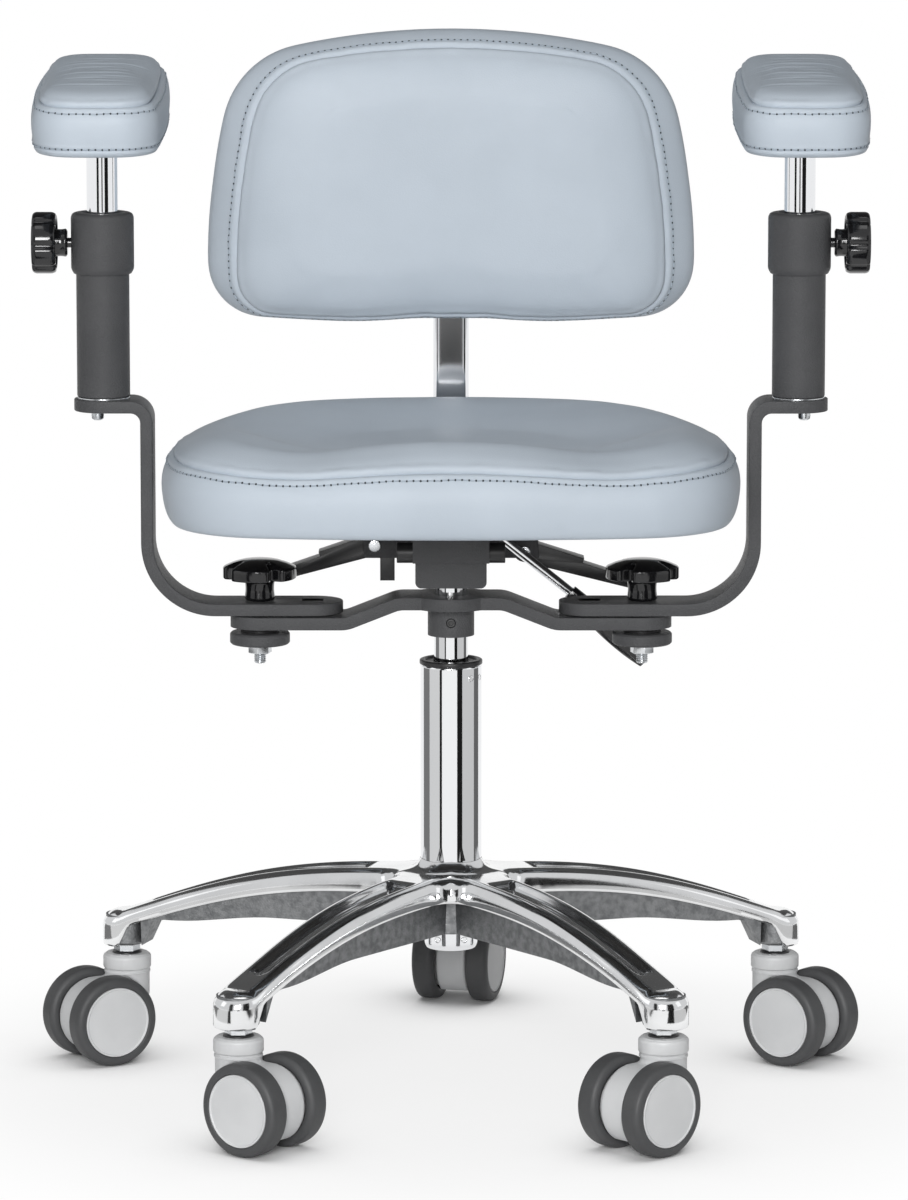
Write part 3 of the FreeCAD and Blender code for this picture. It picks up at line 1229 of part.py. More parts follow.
def back_clamp():
    """The block on the backrest's shell that slides on the bar."""
    half = CLAMP_BLOCK_WIDTH / 2
    block = box(Vector(-half, BACK_REAR, CLAMP_BLOCK_BOTTOM),
                Vector(half, clamp_block_rear(), CLAMP_BLOCK_TOP))
    edges = [edge for edge in block.Edges if edge.BoundBox.ZLength > PAST]
    block = block.makeFillet(CLAMP_BLOCK_ROUND, edges)
    slot_half_x = BACK_BAR_WIDTH / 2 + RUN_GAP
    slot_half_y = BACK_BAR_THICK / 2 + RUN_GAP
    slot = box(Vector(-slot_half_x, BACK_BAR_Y - slot_half_y, CLAMP_BLOCK_BOTTOM - PAST),
               Vector(slot_half_x, BACK_BAR_Y + slot_half_y, CLAMP_BLOCK_TOP + PAST))
    return without(block, [slot, back_screw(RUN_GAP)])


def back_knob():
    """The knob and screw that hold the backrest's height."""
    z = (CLAMP_BLOCK_BOTTOM + CLAMP_BLOCK_TOP) / 2
    start = Vector(0, clamp_block_rear() + CLAMP_STAND, z)
    return fused([lobed_knob(start, Y_AXIS), back_screw(0.0)])


# All sub-parts by node name

def all_nodes():
    """Every sub-part's shape by its node name."""
    nodes = {
        "base_casting": base_casting(),
        "column_tube": column_tube(),
        "column_bush": column_bush(),
        "thrust_bearing": thrust_bearing(),
        "caster_stems": caster_stems(),
        "piston_rod": piston_rod(),
        "gas_cylinder": gas_cylinder(),
        "valve_pin": valve_pin(),
        "arm_carrier": arm_carrier(),
        "set_screw": set_screw(),
        "arm_pivot_bolts": arm_pivot_bolts(),
        "friction_discs": friction_discs(),
        "mechanism_housing": mechanism_housing(),
        "pivot_pins": pivot_pins(),
        "seat_carrier": seat_carrier(),
        "lever_pins": lever_pins(),
        "tilt_lever": paddle("tilt"),
        "back_lever": paddle("back"),
        "height_lever_rod": height_lever_rod(),
        "height_lever_grip": height_lever_grip(),
        "seat_board": seat_board(),
        "seat_cushion": seat_cushion(),
        "back_bar": back_bar(),
        "back_clamp": back_clamp(),
        "back_knob": back_knob(),
        "back_shell": back_shell(),
        "back_cushion": back_cushion(),
    }
    arm_pieces = {"swing_bar": swing_bar(), "star_knob": star_knob(), "post_tube": post_tube(),
                  "post_bolt": post_bolt(), "clamp_collar": clamp_collar(), "clamp_knob": clamp_knob(),
                  "pad_rod": pad_rod()}
    pad_pieces = {"pad_plate": pad_plate(), "pad_cushion": pad_cushion()}
    for prefix, side in (("right_", 1), ("left_", -1)):
        for name, shape in arm_pieces.items():
            nodes[prefix + name] = arm_space(shape, side)
        for name, shape in pad_pieces.items():
            nodes[prefix + name] = pad_side(shape, side)
    fork = caster_fork()
    wheels = {"a": caster_wheel(1), "b": caster_wheel(-1)}
    for number, angle in enumerate(leg_angles(), start=1):
        nodes[f"caster_{number}_fork"] = castor_space(fork, angle)
        for letter, wheel in wheels.items():
            nodes[f"caster_{number}_wheel_{letter}"] = castor_space(wheel, angle)
    return nodes


os.makedirs("parts", exist_ok=True)
NODES = all_nodes()
for node_name, node_shape in NODES.items():
    node_shape.exportStep(f"parts/{node_name}.step")
print(len(NODES), "nodes written")
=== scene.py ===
# %% [markdown]
# # A microscope chair, dressed in Blender
# The chair is for work at a microscope: a dished seat, a padded back and two arm pads on posts. The solids
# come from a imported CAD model, which stays as the fixed frame. This lesson keeps the solids whose shape is
# already right, models the pieces that need more form than a CAD solid has, and mixes a finish for every
# surface.

import math

import bmesh
import bpy
import numpy as np
from mathutils import Matrix, Vector, noise
from mathutils.bvhtree import BVHTree


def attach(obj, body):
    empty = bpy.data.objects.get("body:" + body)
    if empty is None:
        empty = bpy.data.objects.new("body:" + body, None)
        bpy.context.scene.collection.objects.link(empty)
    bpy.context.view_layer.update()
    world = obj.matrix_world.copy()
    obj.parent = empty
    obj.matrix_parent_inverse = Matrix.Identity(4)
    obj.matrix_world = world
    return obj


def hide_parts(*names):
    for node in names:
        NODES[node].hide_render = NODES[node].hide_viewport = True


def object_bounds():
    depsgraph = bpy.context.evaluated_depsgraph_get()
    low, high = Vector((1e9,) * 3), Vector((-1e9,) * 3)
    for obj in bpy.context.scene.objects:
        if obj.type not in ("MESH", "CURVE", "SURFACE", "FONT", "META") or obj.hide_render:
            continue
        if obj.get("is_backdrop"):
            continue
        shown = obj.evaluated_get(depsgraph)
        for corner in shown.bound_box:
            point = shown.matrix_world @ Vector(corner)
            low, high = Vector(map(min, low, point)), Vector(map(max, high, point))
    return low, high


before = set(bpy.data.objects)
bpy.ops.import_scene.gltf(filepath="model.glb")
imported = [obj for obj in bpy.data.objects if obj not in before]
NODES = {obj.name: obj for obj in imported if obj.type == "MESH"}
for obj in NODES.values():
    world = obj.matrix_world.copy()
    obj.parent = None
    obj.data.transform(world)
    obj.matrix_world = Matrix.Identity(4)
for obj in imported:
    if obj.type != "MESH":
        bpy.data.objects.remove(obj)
CAD_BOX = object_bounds()
MM = 0.001
SIDES = {"left": -1, "right": 1}
bpy.ops.object.select_all(action="DESELECT")
print("solids in the frame:", len(NODES))

# %% [markdown]
# ## Camera
# The picture was taken from straight in front with a long lens, a little above the seat. A long lens five
# metres away keeps the sides of the column parallel, so the camera gets the same distance, drop and lens
# here.

# %% Camera
CAMERA_BACK = 5.2
CAMERA_HEIGHT = 1.21
CAMERA_DROP = math.radians(8.85)
LENS = 193.46
SENSOR_WIDTH = 36.0
LENS_SHIFT = 0.0025
bpy.ops.object.camera_add(location=(0, -CAMERA_BACK, CAMERA_HEIGHT),
                          rotation=(math.pi / 2 - CAMERA_DROP, 0, 0))
camera = bpy.context.object
camera.data.lens = LENS
camera.data.sensor_width = SENSOR_WIDTH
camera.data.shift_x = LENS_SHIFT
bpy.context.scene.camera = camera
print("camera at", tuple(round(value, 3) for value in camera.location))

# %% [markdown]
# ## Studio
# The chair stands on a white floor that runs out of the picture. Camera and mirror rays see the floor as
# plain white away from the chair, and near it the diffuse share takes the shadow. Polished metal needs
# something dark to reflect, or it looks like white paint: cards stand round the set where the photograph's
# column and legs mirror dark or grey stripes, and a narrow one in front darkens the flat back bar. The
# camera looks down a little, so the column mirrors the floor in front of it, and wedge-shaped cards lie
# there too. Only mirror rays see the cards.

# %% Studio floor and cards
scene = bpy.context.scene
scene.view_settings.view_transform = "Standard"
GLOW_START, GLOW_FULL = 0.24, 0.58  # metres from the column
SHADE_REACH = 0.12
SHADED, OPEN = 0.30, 0.92


def bench():
    """Leaves edit mode with nothing selected, so that the next operator meets only what is meant."""
    if bpy.context.mode != "OBJECT":
        bpy.ops.object.mode_set(mode="OBJECT")
    bpy.ops.object.select_all(action="DESELECT")


def stage_material(name, colour, glow, near_share, far_share):
    """A matt surface that camera and mirror rays see partly as an even glow, less so near the chair."""
    material = bpy.data.materials.new(name)
    material.use_nodes = True
    nodes, links = material.node_tree.nodes, material.node_tree.links
    nodes.clear()
    output = nodes.new("ShaderNodeOutputMaterial")
    mix = nodes.new("ShaderNodeMixShader")
    matt = nodes.new("ShaderNodeBsdfDiffuse")
    matt.inputs["Color"].default_value = (*colour, 1)
    light = nodes.new("ShaderNodeEmission")
    light.inputs["Color"].default_value = (*glow, 1)
    path = nodes.new("ShaderNodeLightPath")
    seen = nodes.new("ShaderNodeMath")
    seen.operation = "MAXIMUM"
    links.new(path.outputs["Is Camera Ray"], seen.inputs[0])
    links.new(path.outputs["Is Glossy Ray"], seen.inputs[1])
    place = nodes.new("ShaderNodeTexCoord")
    reach = nodes.new("ShaderNodeVectorMath")
    reach.operation = "LENGTH"
    links.new(place.outputs["Object"], reach.inputs[0])
    share = nodes.new("ShaderNodeMapRange")
    share.interpolation_type = "SMOOTHSTEP"
    share.inputs["From Min"].default_value = GLOW_START
    share.inputs["From Max"].default_value = GLOW_FULL
    share.inputs["To Min"].default_value = near_share
    share.inputs["To Max"].default_value = far_share
    links.new(reach.outputs["Value"], share.inputs["Value"])
    nearby = nodes.new("ShaderNodeAmbientOcclusion")
    nearby.inputs["Distance"].default_value = SHADE_REACH
    open_share = nodes.new("ShaderNodeMapRange")
    open_share.inputs["From Min"].default_value = SHADED
    open_share.inputs["From Max"].default_value = OPEN
    links.new(nearby.outputs["AO"], open_share.inputs["Value"])
    clear = nodes.new("ShaderNodeMath")
    clear.operation = "MULTIPLY"
    links.new(share.outputs["Result"], clear.inputs[0])
    links.new(open_share.outputs["Result"], clear.inputs[1])
    amount = nodes.new("ShaderNodeMath")
    amount.operation = "MULTIPLY"
    links.new(seen.outputs[0], amount.inputs[0])
    links.new(clear.outputs[0], amount.inputs[1])
    links.new(amount.outputs[0], mix.inputs[0])
    links.new(matt.outputs[0], mix.inputs[1])
    links.new(light.outputs[0], mix.inputs[2])
    links.new(mix.outputs[0], output.inputs["Surface"])
    return material


def hang(card, name, glow):
    """Names a card and lets only mirror rays see it, with an even glow."""
    card.name = name
    card.visible_camera = False
    card.visible_diffuse = False
    card.visible_shadow = False
    card.data.materials.append(stage_material(name, (0, 0, 0), (glow, glow, glow), 1.0, 1.0))
    card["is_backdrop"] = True


bench()
bpy.ops.mesh.primitive_plane_add(size=40)
floor = bpy.context.object
floor.name = "studio_floor"
floor.data.materials.append(stage_material("studio_white", (0.93, 0.93, 0.93), (1.0, 1.0, 1.0), 0.80, 1.0))
floor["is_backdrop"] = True

CARDS = (  # label, middle, width, height, turn about Z in degrees or none for a level card, glow
    ("left", (-1.88, -2.95, 1.2), 0.95, 2.8, -32.5, 0.012),
    ("right", (1.83, -2.98, 1.2), 1.75, 2.8, 31.5, 0.012),
    ("rear", (0.0, 3.4, 2.55), 6.4, 2.3, 0, 0.09),
    ("backdrop", (0.0, 3.5, 0.65), 6.4, 1.3, 0, 1.0),
    ("ceiling", (0.0, 1.5, 3.7), 6.4, 4.4, None, 0.07),
    ("front", (0.0, -4.9, 1.2), 0.8, 2.4, 0, 0.05),
)
for label, middle, width, height, turn, glow in CARDS:
    facing = (0, 0, 0) if turn is None else (math.pi / 2, 0, math.radians(turn))
    bpy.ops.mesh.primitive_plane_add(size=1, location=middle, rotation=facing)
    card = bpy.context.object
    card.scale = (width, height, 1)
    hang(card, "card_" + label, glow)

WEDGES = (  # label, first and last angle from the front in degrees, glow
    ("left_dark", -43, -34, 0.012),
    ("right_dark", 23, 43, 0.012),
    ("left_pale", -88, -43, 0.70),
    ("right_pale", 43, 96, 0.62),
    ("left_grey", -125, -88, 0.20),
    ("right_grey", 96, 125, 0.14),
)
NEAR, FAR = 0.62, 4.0  # metres from the column
for label, first, last, glow in WEDGES:
    bpy.ops.mesh.primitive_grid_add(x_subdivisions=8, y_subdivisions=1, size=1)
    wedge = bpy.context.object
    for vertex in wedge.data.vertices:
        turn = math.radians(first + (last - first) * (vertex.co.x + 0.5))
        reach = NEAR + (FAR - NEAR) * (vertex.co.y + 0.5)
        vertex.co = (reach * math.sin(turn), -reach * math.cos(turn), 0.004)
    hang(wedge, "wedge_" + label, glow)
print("stage pieces:", 1 + len(CARDS) + len(WEDGES))

# %% [markdown]
# ## Light
# In the photograph the fronts of the cushions are brighter than their tops, so the main soft box is large
# and stands behind the camera, a little above it. Weak boxes at the sides and overhead only shape the rest,
# and the world gives even light all round. Mirror rays see the world as a mid grey, like the walls of a
# room.

# %% Lamps and world
LAMPS = (  # label, place, width and height in metres, watts
    ("front", (-0.35, -5.6, 2.0), 1.9, 2.2, 275),
    ("overhead", (0.0, -0.6, 3.8), 2.4, 2.4, 24),
    ("left", (-3.4, -0.9, 1.7), 1.4, 1.8, 4),
    ("right", (3.4, -0.9, 1.7), 1.4, 1.8, 3),
)
LAMP_AIM = Vector((0, 0, 0.55))
for label, place, width, height, watts in LAMPS:
    bpy.ops.object.light_add(type="AREA", location=place)
    lamp = bpy.context.object
    lamp.name = "lamp_" + label
    lamp.data.shape = "RECTANGLE"
    lamp.data.size = width
    lamp.data.size_y = height
    lamp.data.energy = watts
    aim = LAMP_AIM - Vector(place)
    lamp.rotation_euler = aim.to_track_quat("-Z", "Y").to_euler()


def sky_glow(sky, strength):
    """A plain background shader of one strength."""
    glow = sky.nodes.new("ShaderNodeBackground")
    glow.inputs["Color"].default_value = (0.985, 0.99, 1.0, 1)
    glow.inputs["Strength"].default_value = strength
    return glow.outputs[0]


def sky_switch(sky, ray, usual, special):
    """Uses one background for a kind of ray and another for all the rest."""
    path = sky.nodes.new("ShaderNodeLightPath")
    mix = sky.nodes.new("ShaderNodeMixShader")
    sky.links.new(path.outputs[ray], mix.inputs[0])
    sky.links.new(usual, mix.inputs[1])
    sky.links.new(special, mix.inputs[2])
    return mix.outputs[0]


world = bpy.data.worlds.new("studio_world")
world.use_nodes = True
scene.world = world
sky = world.node_tree
sky.nodes.clear()
mirror_sky = sky_switch(sky, "Is Glossy Ray", sky_glow(sky, 0.11), sky_glow(sky, 0.70))
whole_sky = sky_switch(sky, "Is Camera Ray", mirror_sky, sky_glow(sky, 1.0))
sky.links.new(whole_sky, sky.nodes.new("ShaderNodeOutputWorld").inputs["Surface"])
print("lamps:", len(LAMPS))

# %% [markdown]
# ## Sums for shaders
# A finish is mostly small sums: a grain height, a change of gloss, a share of two colours. Written as node
# calls they are hard to read, so one class wraps a socket and lets it stand in a Python sum. Each operator
# adds the Math node that it means. Every other node comes from one method, with its settings first and its
# sockets after.

# %% Sockets that can be added and multiplied
class Wire:
    """A socket on its way through the nodes."""

    def __init__(self, recipe, socket):
        self.recipe = recipe
        self.socket = socket

    def maths(self, operation, first, second):
        return self.recipe.node("ShaderNodeMath", {"operation": operation}, {0: first, 1: second})

    def __add__(self, other):
        return self.maths("ADD", self, other)

    def __sub__(self, other):
        return self.maths("SUBTRACT", self, other)

    def __rsub__(self, other):
        return self.maths("SUBTRACT", other, self)

    def __mul__(self, other):
        return self.maths("MULTIPLY", self, other)

    __radd__ = __add__
    __rmul__ = __mul__


class Recipe:
    """The nodes of one finish around a Principled shader."""

    def __init__(self, name):
        self.material = bpy.data.materials.new(name)
        self.material.use_nodes = True
        self.tree = self.material.node_tree
        self.shader = self.tree.nodes["Principled BSDF"]

    def node(self, kind, settings=None, sockets=None, output=0):
        """Adds a node: its settings are set first, then the values or wires of its sockets."""
        made = self.tree.nodes.new(kind)
        for key, value in (settings or {}).items():
            if key == "stops":
                for index, (place, colour) in enumerate(value):
                    stops = made.color_ramp.elements
                    stop = stops[index] if index < len(stops) else stops.new(place)
                    stop.position = place
                    stop.color = (*colour, 1)
            else:
                setattr(made, key, value)
        self.feed(made, sockets or {})
        return Wire(self, made.outputs[output])

    def feed(self, made, sockets):
        for key, value in sockets.items():
            if isinstance(value, Wire):
                self.tree.links.new(value.socket, made.inputs[key])
            else:
                made.inputs[key].default_value = value

    def surface(self, **sockets):
        """Sets the shader's sockets; an underscore in a name stands for a space."""
        self.feed(self.shader, {key.replace("_", " "): value for key, value in sockets.items()})
        return self.material

    def here(self, stretch=(1, 1, 1)):
        """Object coordinates, stretched along the axes."""
        place = self.node("ShaderNodeTexCoord", output="Object")
        return self.node("ShaderNodeMapping", {"vector_type": "POINT"}, {"Vector": place, "Scale": stretch})

    def noise(self, scale, detail=2.0, stretch=(1, 1, 1), roughness=0.5):
        return self.node("ShaderNodeTexNoise", {}, {"Vector": self.here(stretch), "Scale": scale,
                                                    "Detail": detail, "Roughness": roughness})

    def cells(self, scale, smooth=0.6):
        return self.node("ShaderNodeTexVoronoi", {"feature": "SMOOTH_F1"},
                         {"Vector": self.here(), "Scale": scale, "Smoothness": smooth})

    def between(self, low, high, value):
        """A value's share of the way from low to high, held between 0 and 1."""
        return self.node("ShaderNodeMapRange", {"interpolation_type": "SMOOTHSTEP"},
                         {"Value": value, "From Min": low, "From Max": high})

    def tint(self, share, first, second):
        """A colour between two others."""
        return self.node("ShaderNodeMix", {"data_type": "RGBA"},
                         {0: share, 6: (*first, 1) if isinstance(first, tuple) else first,
                          7: (*second, 1) if isinstance(second, tuple) else second}, output=2)

    def bump(self, height, strength, distance, under=None):
        sockets = {"Height": height, "Strength": strength, "Distance": distance}
        if under is not None:
            sockets["Normal"] = under
        return self.node("ShaderNodeBump", {}, sockets)


print("shader sums ready")

# %% [markdown]
# ## Upholstery
# The covers are pale blue-grey artificial leather with a fine pebble grain, sewn over firm foam. The grain
# is about a millimetre across and very shallow, so it only breaks up the highlight. A slow change of colour
# and gloss keeps large panels from looking like painted plastic.

# %% Artificial leather
COVER = (0.462, 0.518, 0.578)
COVER_DEEP = (0.430, 0.484, 0.542)


def mix_upholstery():
    recipe = Recipe("upholstery")
    pebble = recipe.cells(950.0)
    fine = recipe.noise(2600.0, 2.0)
    slow = recipe.noise(9.0, 3.0)
    broad = recipe.noise(34.0, 2.0)
    grain = recipe.bump(pebble * 0.7 + fine * 0.3, 0.20, 0.0005)
    colour = recipe.tint(recipe.between(0.30, 0.72, slow), COVER, COVER_DEEP)
    rough = 0.50 + (broad - 0.5) * 0.10 + (pebble - 0.4) * 0.10
    return recipe.surface(Base_Color=colour, Roughness=rough, Normal=grain, Specular_IOR_Level=0.34)


upholstery = mix_upholstery()

# %% [markdown]
# The thread is nearly the colour of the cover, but matt. The needle holes sit in shade, and their near-black
# colour is painted shade, in a deep tone of the cover.

# %% Thread
def mix_thread():
    recipe = Recipe("stitch_thread")
    twist = recipe.noise(3200.0, 1.0)
    colour = recipe.tint(recipe.between(0.35, 0.65, twist), (0.32, 0.375, 0.43), (0.40, 0.46, 0.52))
    return recipe.surface(Base_Color=colour, Roughness=0.55 + (twist - 0.5) * 0.2,
                          Normal=recipe.bump(twist, 0.35, 0.0002))


def mix_painted_hole_shade():
    # painted shade: this near-black colour stands in for the shadow inside a needle hole
    recipe = Recipe("painted_hole_shade")
    shade = recipe.noise(900.0, 2.0)
    colour = recipe.tint(shade, (0.020, 0.026, 0.032), (0.045, 0.055, 0.065))
    return recipe.surface(Base_Color=colour, Roughness=0.7 + (shade - 0.5) * 0.2)


stitch_thread = mix_thread()
painted_hole_shade = mix_painted_hole_shade()
print("cover finishes:", upholstery.name, stitch_thread.name, painted_hole_shade.name)

# %% [markdown]
# ## Black finishes
# The steel bars and posts carry a fine-textured black powder coat that looks dark grey where light rakes
# over it. The knobs are moulded gloss black with the faint unevenness of moulded plastic, and the levers
# are satin.

# %% Powder coat and black plastics
def mix_black(name, dark, light, rough, rough_change, grain_scale, grain, grain_depth, specular):
    recipe = Recipe(name)
    speck = recipe.noise(grain_scale, 3.0, roughness=0.6)
    patch = recipe.noise(22.0, 3.0)
    colour = recipe.tint(recipe.between(0.25, 0.75, patch), dark, light)
    roughness = rough + (patch - 0.5) * rough_change + (speck - 0.5) * rough_change
    return recipe.surface(Base_Color=colour, Roughness=roughness, Specular_IOR_Level=specular,
                          Normal=recipe.bump(speck, grain, grain_depth))


powder_coat = mix_black("black_powder_coat", (0.070, 0.071, 0.074), (0.082, 0.083, 0.086),
                        0.42, 0.16, 700.0, 0.80, 0.0007, 0.13)
gloss_black = mix_black("gloss_black_plastic", (0.006, 0.006, 0.007), (0.009, 0.009, 0.010),
                        0.11, 0.04, 140.0, 0.05, 0.0004, 0.6)
satin_black = mix_black("satin_black_plastic", (0.014, 0.014, 0.015), (0.020, 0.020, 0.021),
                        0.36, 0.10, 1100.0, 0.20, 0.0003, 0.5)
shell_black = mix_black("shell_plastic", (0.022, 0.023, 0.025), (0.030, 0.031, 0.033),
                        0.50, 0.10, 620.0, 0.50, 0.0005, 0.5)
print("black finishes:", powder_coat.name, gloss_black.name, satin_black.name, shell_black.name)

# %% [markdown]
# ## Metals
# Chrome is the sharpest mirror. The base is an aluminium casting: its upper faces are polished, with a soft
# haze left by the polishing wheel, and its webs underneath are bare rough casting. Screws and nuts are zinc
# plated.

# %% Chrome, aluminium and zinc
def mix_metal(name, bright, dull, rough, rough_change, patch_scale, stretch, grain_scale, grain, depth):
    recipe = Recipe(name)
    patch = recipe.noise(patch_scale, 4.0, stretch)
    grains = recipe.noise(grain_scale, 3.0, stretch)
    colour = recipe.tint(recipe.between(0.30, 0.75, patch), bright, dull)
    return recipe.surface(Base_Color=colour, Metallic=1.0, Roughness=rough + (patch - 0.5) * rough_change,
                          Normal=recipe.bump(grains, grain, depth))


chrome = mix_metal("chrome", (0.86, 0.87, 0.88), (0.80, 0.81, 0.83), 0.055, 0.04, 14.0, (1, 1, 0.25),
                   60.0, 0.02, 0.0005)
polished_aluminium = mix_metal("polished_aluminium", (0.88, 0.885, 0.89), (0.80, 0.805, 0.81), 0.115, 0.09,
                               26.0, (1, 1, 1), 90.0, 0.03, 0.0006)
cast_aluminium = mix_metal("cast_aluminium", (0.27, 0.275, 0.28), (0.16, 0.165, 0.17), 0.52, 0.24, 170.0,
                           (1, 1, 1), 520.0, 0.55, 0.0008)
zinc = mix_metal("zinc_steel", (0.72, 0.735, 0.75), (0.58, 0.60, 0.62), 0.27, 0.16, 120.0, (1, 1, 1),
                 900.0, 0.12, 0.0003)
print("metals:", chrome.name, polished_aluminium.name, cast_aluminium.name, zinc.name)

# %% [markdown]
# ## Castor plastics and board
# Castor housings and wheel covers are pale grey nylon with a fine spark-eroded texture, and the tyres are a
# softer dark grey. The boards inside the seat and pads are plywood stained black, seen only from below.

# %% Castor plastics and board
def mix_moulding(name, main, second, rough, grain_scale, grain, specular):
    recipe = Recipe(name)
    speck = recipe.noise(grain_scale, 2.0)
    patch = recipe.noise(30.0, 3.0)
    colour = recipe.tint(recipe.between(0.3, 0.7, patch), main, second)
    return recipe.surface(Base_Color=colour, Roughness=rough + (speck - 0.5) * 0.16 + (patch - 0.5) * 0.08,
                          Specular_IOR_Level=specular, Normal=recipe.bump(speck, grain, 0.0003))


def mix_board():
    recipe = Recipe("stained_board")
    grain = recipe.noise(55.0, 5.0, (0.22, 3.0, 3.0))
    pore = recipe.noise(420.0, 2.0, (0.12, 2.0, 2.0))
    colour = recipe.tint(recipe.between(0.30, 0.72, grain), (0.020, 0.018, 0.016), (0.012, 0.011, 0.010))
    return recipe.surface(Base_Color=colour, Roughness=0.58 + (pore - 0.5) * 0.3,
                          Normal=recipe.bump(grain * 0.5 + pore * 0.5, 0.25, 0.0006))


pale_plastic = mix_moulding("grey_plastic", (0.655, 0.662, 0.668), (0.615, 0.622, 0.629),
                            0.40, 1800.0, 0.22, 0.45)
tyre_grey = mix_moulding("grey_tread", (0.068, 0.069, 0.071), (0.056, 0.057, 0.059), 0.52, 1300.0, 0.30, 0.4)
stained_board = mix_board()
print("mouldings:", pale_plastic.name, tyre_grey.name, stained_board.name)

# %% [markdown]
# ## Ways of working
# Three jobs come back all the time. A round piece is drawn as half an outline and spun about its axis, as
# on a lathe. A folded or milled piece already has the right solid, so a merged copy of it only gets its
# sharp edges rounded. And whatever repeats is modelled once and copied, each copy with a mesh of its own.

# %% Rounding an outline and spinning it
def rounded(corners, steps=4):
    """An outline of (radius, height, round) corners in millimetres with each corner turned into an arc."""
    points = []
    for index, corner in enumerate(corners):
        here = Vector(corner[:2])
        size = corner[2] if len(corner) > 2 else 0.0
        if not size or index in (0, len(corners) - 1):
            points.append(here)
            continue
        back = (Vector(corners[index - 1][:2]) - here)
        ahead = (Vector(corners[index + 1][:2]) - here)
        size = min(size, back.length * 0.49, ahead.length * 0.49)
        start, end = here + back.normalized() * size, here + ahead.normalized() * size
        for step in range(steps + 1):
            share = step / steps
            points.append(start.lerp(here, share).lerp(here.lerp(end, share), share))
    return points


def lathe(name, corners, steps=96, arc=4):
    """Draws half an outline point by point and spins it about Z."""
    bench()
    bpy.ops.mesh.primitive_plane_add(size=MM)
    piece = bpy.context.object
    piece.name = name
    bpy.ops.object.mode_set(mode="EDIT")
    bpy.ops.mesh.select_mode(type="VERT")
    bpy.ops.mesh.merge(type="CENTER")
    outline = rounded(corners, arc)
    bpy.ops.transform.translate(value=(outline[0].x * MM, 0, outline[0].y * MM))
    for last, point in zip(outline, outline[1:]):
        step = point - last
        bpy.ops.mesh.extrude_region_move(TRANSFORM_OT_translate={"value": (step.x * MM, 0, step.y * MM)})
    bpy.ops.mesh.select_all(action="SELECT")
    bpy.ops.mesh.spin(steps=steps, angle=2 * math.pi, center=(0, 0, 0), axis=(0, 0, 1))
    bpy.ops.mesh.select_all(action="SELECT")
    bpy.ops.mesh.remove_doubles(threshold=0.000005)
    bpy.ops.mesh.normals_make_consistent(inside=False)
    bpy.ops.object.mode_set(mode="OBJECT")
    smooth(piece)
    return piece


def pick(piece):
    """Makes a piece the only one that the next operator works on."""
    bench()
    piece.select_set(True)
    bpy.context.view_layer.objects.active = piece


def smooth(piece, angle=32.0):
    """Smooth shading, broken only at real edges."""
    pick(piece)
    bpy.ops.object.shade_smooth_by_angle(angle=math.radians(angle))


print("lathe ready")

# %% Rounding the edges of a solid, copying and placing
def apply_all(piece):
    """Applies a piece's modifiers in order."""
    pick(piece)
    for name in [modifier.name for modifier in piece.modifiers]:
        bpy.ops.object.modifier_apply(modifier=name)


def merged_copy(node, name):
    """A copy of a CAD solid with its loose triangles joined into faces."""
    piece = bpy.data.objects.new(name, NODES[node].data.copy())
    bpy.context.collection.objects.link(piece)
    pick(piece)
    bpy.ops.mesh.customdata_custom_splitnormals_clear()
    bpy.ops.object.mode_set(mode="EDIT")
    bpy.ops.mesh.select_all(action="SELECT")
    bpy.ops.mesh.remove_doubles(threshold=0.00001)
    bpy.ops.mesh.dissolve_limited(angle_limit=math.radians(0.6))
    bpy.ops.object.mode_set(mode="OBJECT")
    return piece


def round_edges(piece, edge, segments, angle, corner="MITER_SHARP"):
    """Rounds the edges that are sharper than an angle by an edge radius in millimetres."""
    bevel = piece.modifiers.new("edges", "BEVEL")
    bevel.width = edge * MM
    bevel.segments = segments
    bevel.limit_method = "ANGLE"
    bevel.angle_limit = math.radians(angle)
    bevel.miter_outer = corner
    apply_all(piece)


def eased(node, name, edge, segments=3):
    """A merged copy of a CAD solid with its sharp edges rounded."""
    piece = merged_copy(node, name)
    round_edges(piece, edge, segments, 38.0, "MITER_ARC")
    smooth(piece)
    return piece


def twin(piece, name, placing):
    """A copy with its own mesh, moved by a matrix; a mirrored copy is turned right side out again."""
    other = bpy.data.objects.new(name, piece.data.copy())
    bpy.context.collection.objects.link(other)
    other.data.transform(placing)
    if placing.determinant() < 0:
        other.data.flip_normals()
    return other


def remove(piece):
    """Takes a pattern piece off the bench once its copies are made."""
    bpy.data.objects.remove(piece)


def joined(pieces, name):
    """One object from many."""
    bench()
    for piece in pieces:
        piece.select_set(True)
    bpy.context.view_layer.objects.active = pieces[0]
    bpy.ops.object.join()
    pieces[0].name = name
    return pieces[0]


def select_end(piece, sign):
    """Selects the faces that look along Z, up or down by the sign, in edit mode."""
    bpy.ops.mesh.select_all(action="DESELECT")
    mesh = bmesh.from_edit_mesh(piece.data)
    for face in mesh.faces:
        face.select_set(face.normal.z * sign > 0.9)
    bmesh.update_edit_mesh(piece.data)


def fit(piece, finish, body, slot, *nodes):
    """Gives a piece its finish and its body, and lets it stand for CAD solids."""
    piece.data.materials.clear()
    piece.data.materials.append(finish)
    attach(piece, body)
    if nodes:
        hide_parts(*nodes)
    return piece


def paint(finish, *nodes):
    """Gives CAD solids that stay in view their finish."""
    for node in nodes:
        for holder in NODES[node].material_slots:
            holder.material = finish


def along(axis, place):
    """A matrix that lays a piece turned about Z along another axis, at a place in millimetres."""
    turn = Vector((0, 0, 1)).rotation_difference(Vector(axis)).to_matrix().to_4x4()
    return Matrix.Translation(Vector(place) * MM) @ turn


print("bench ready")

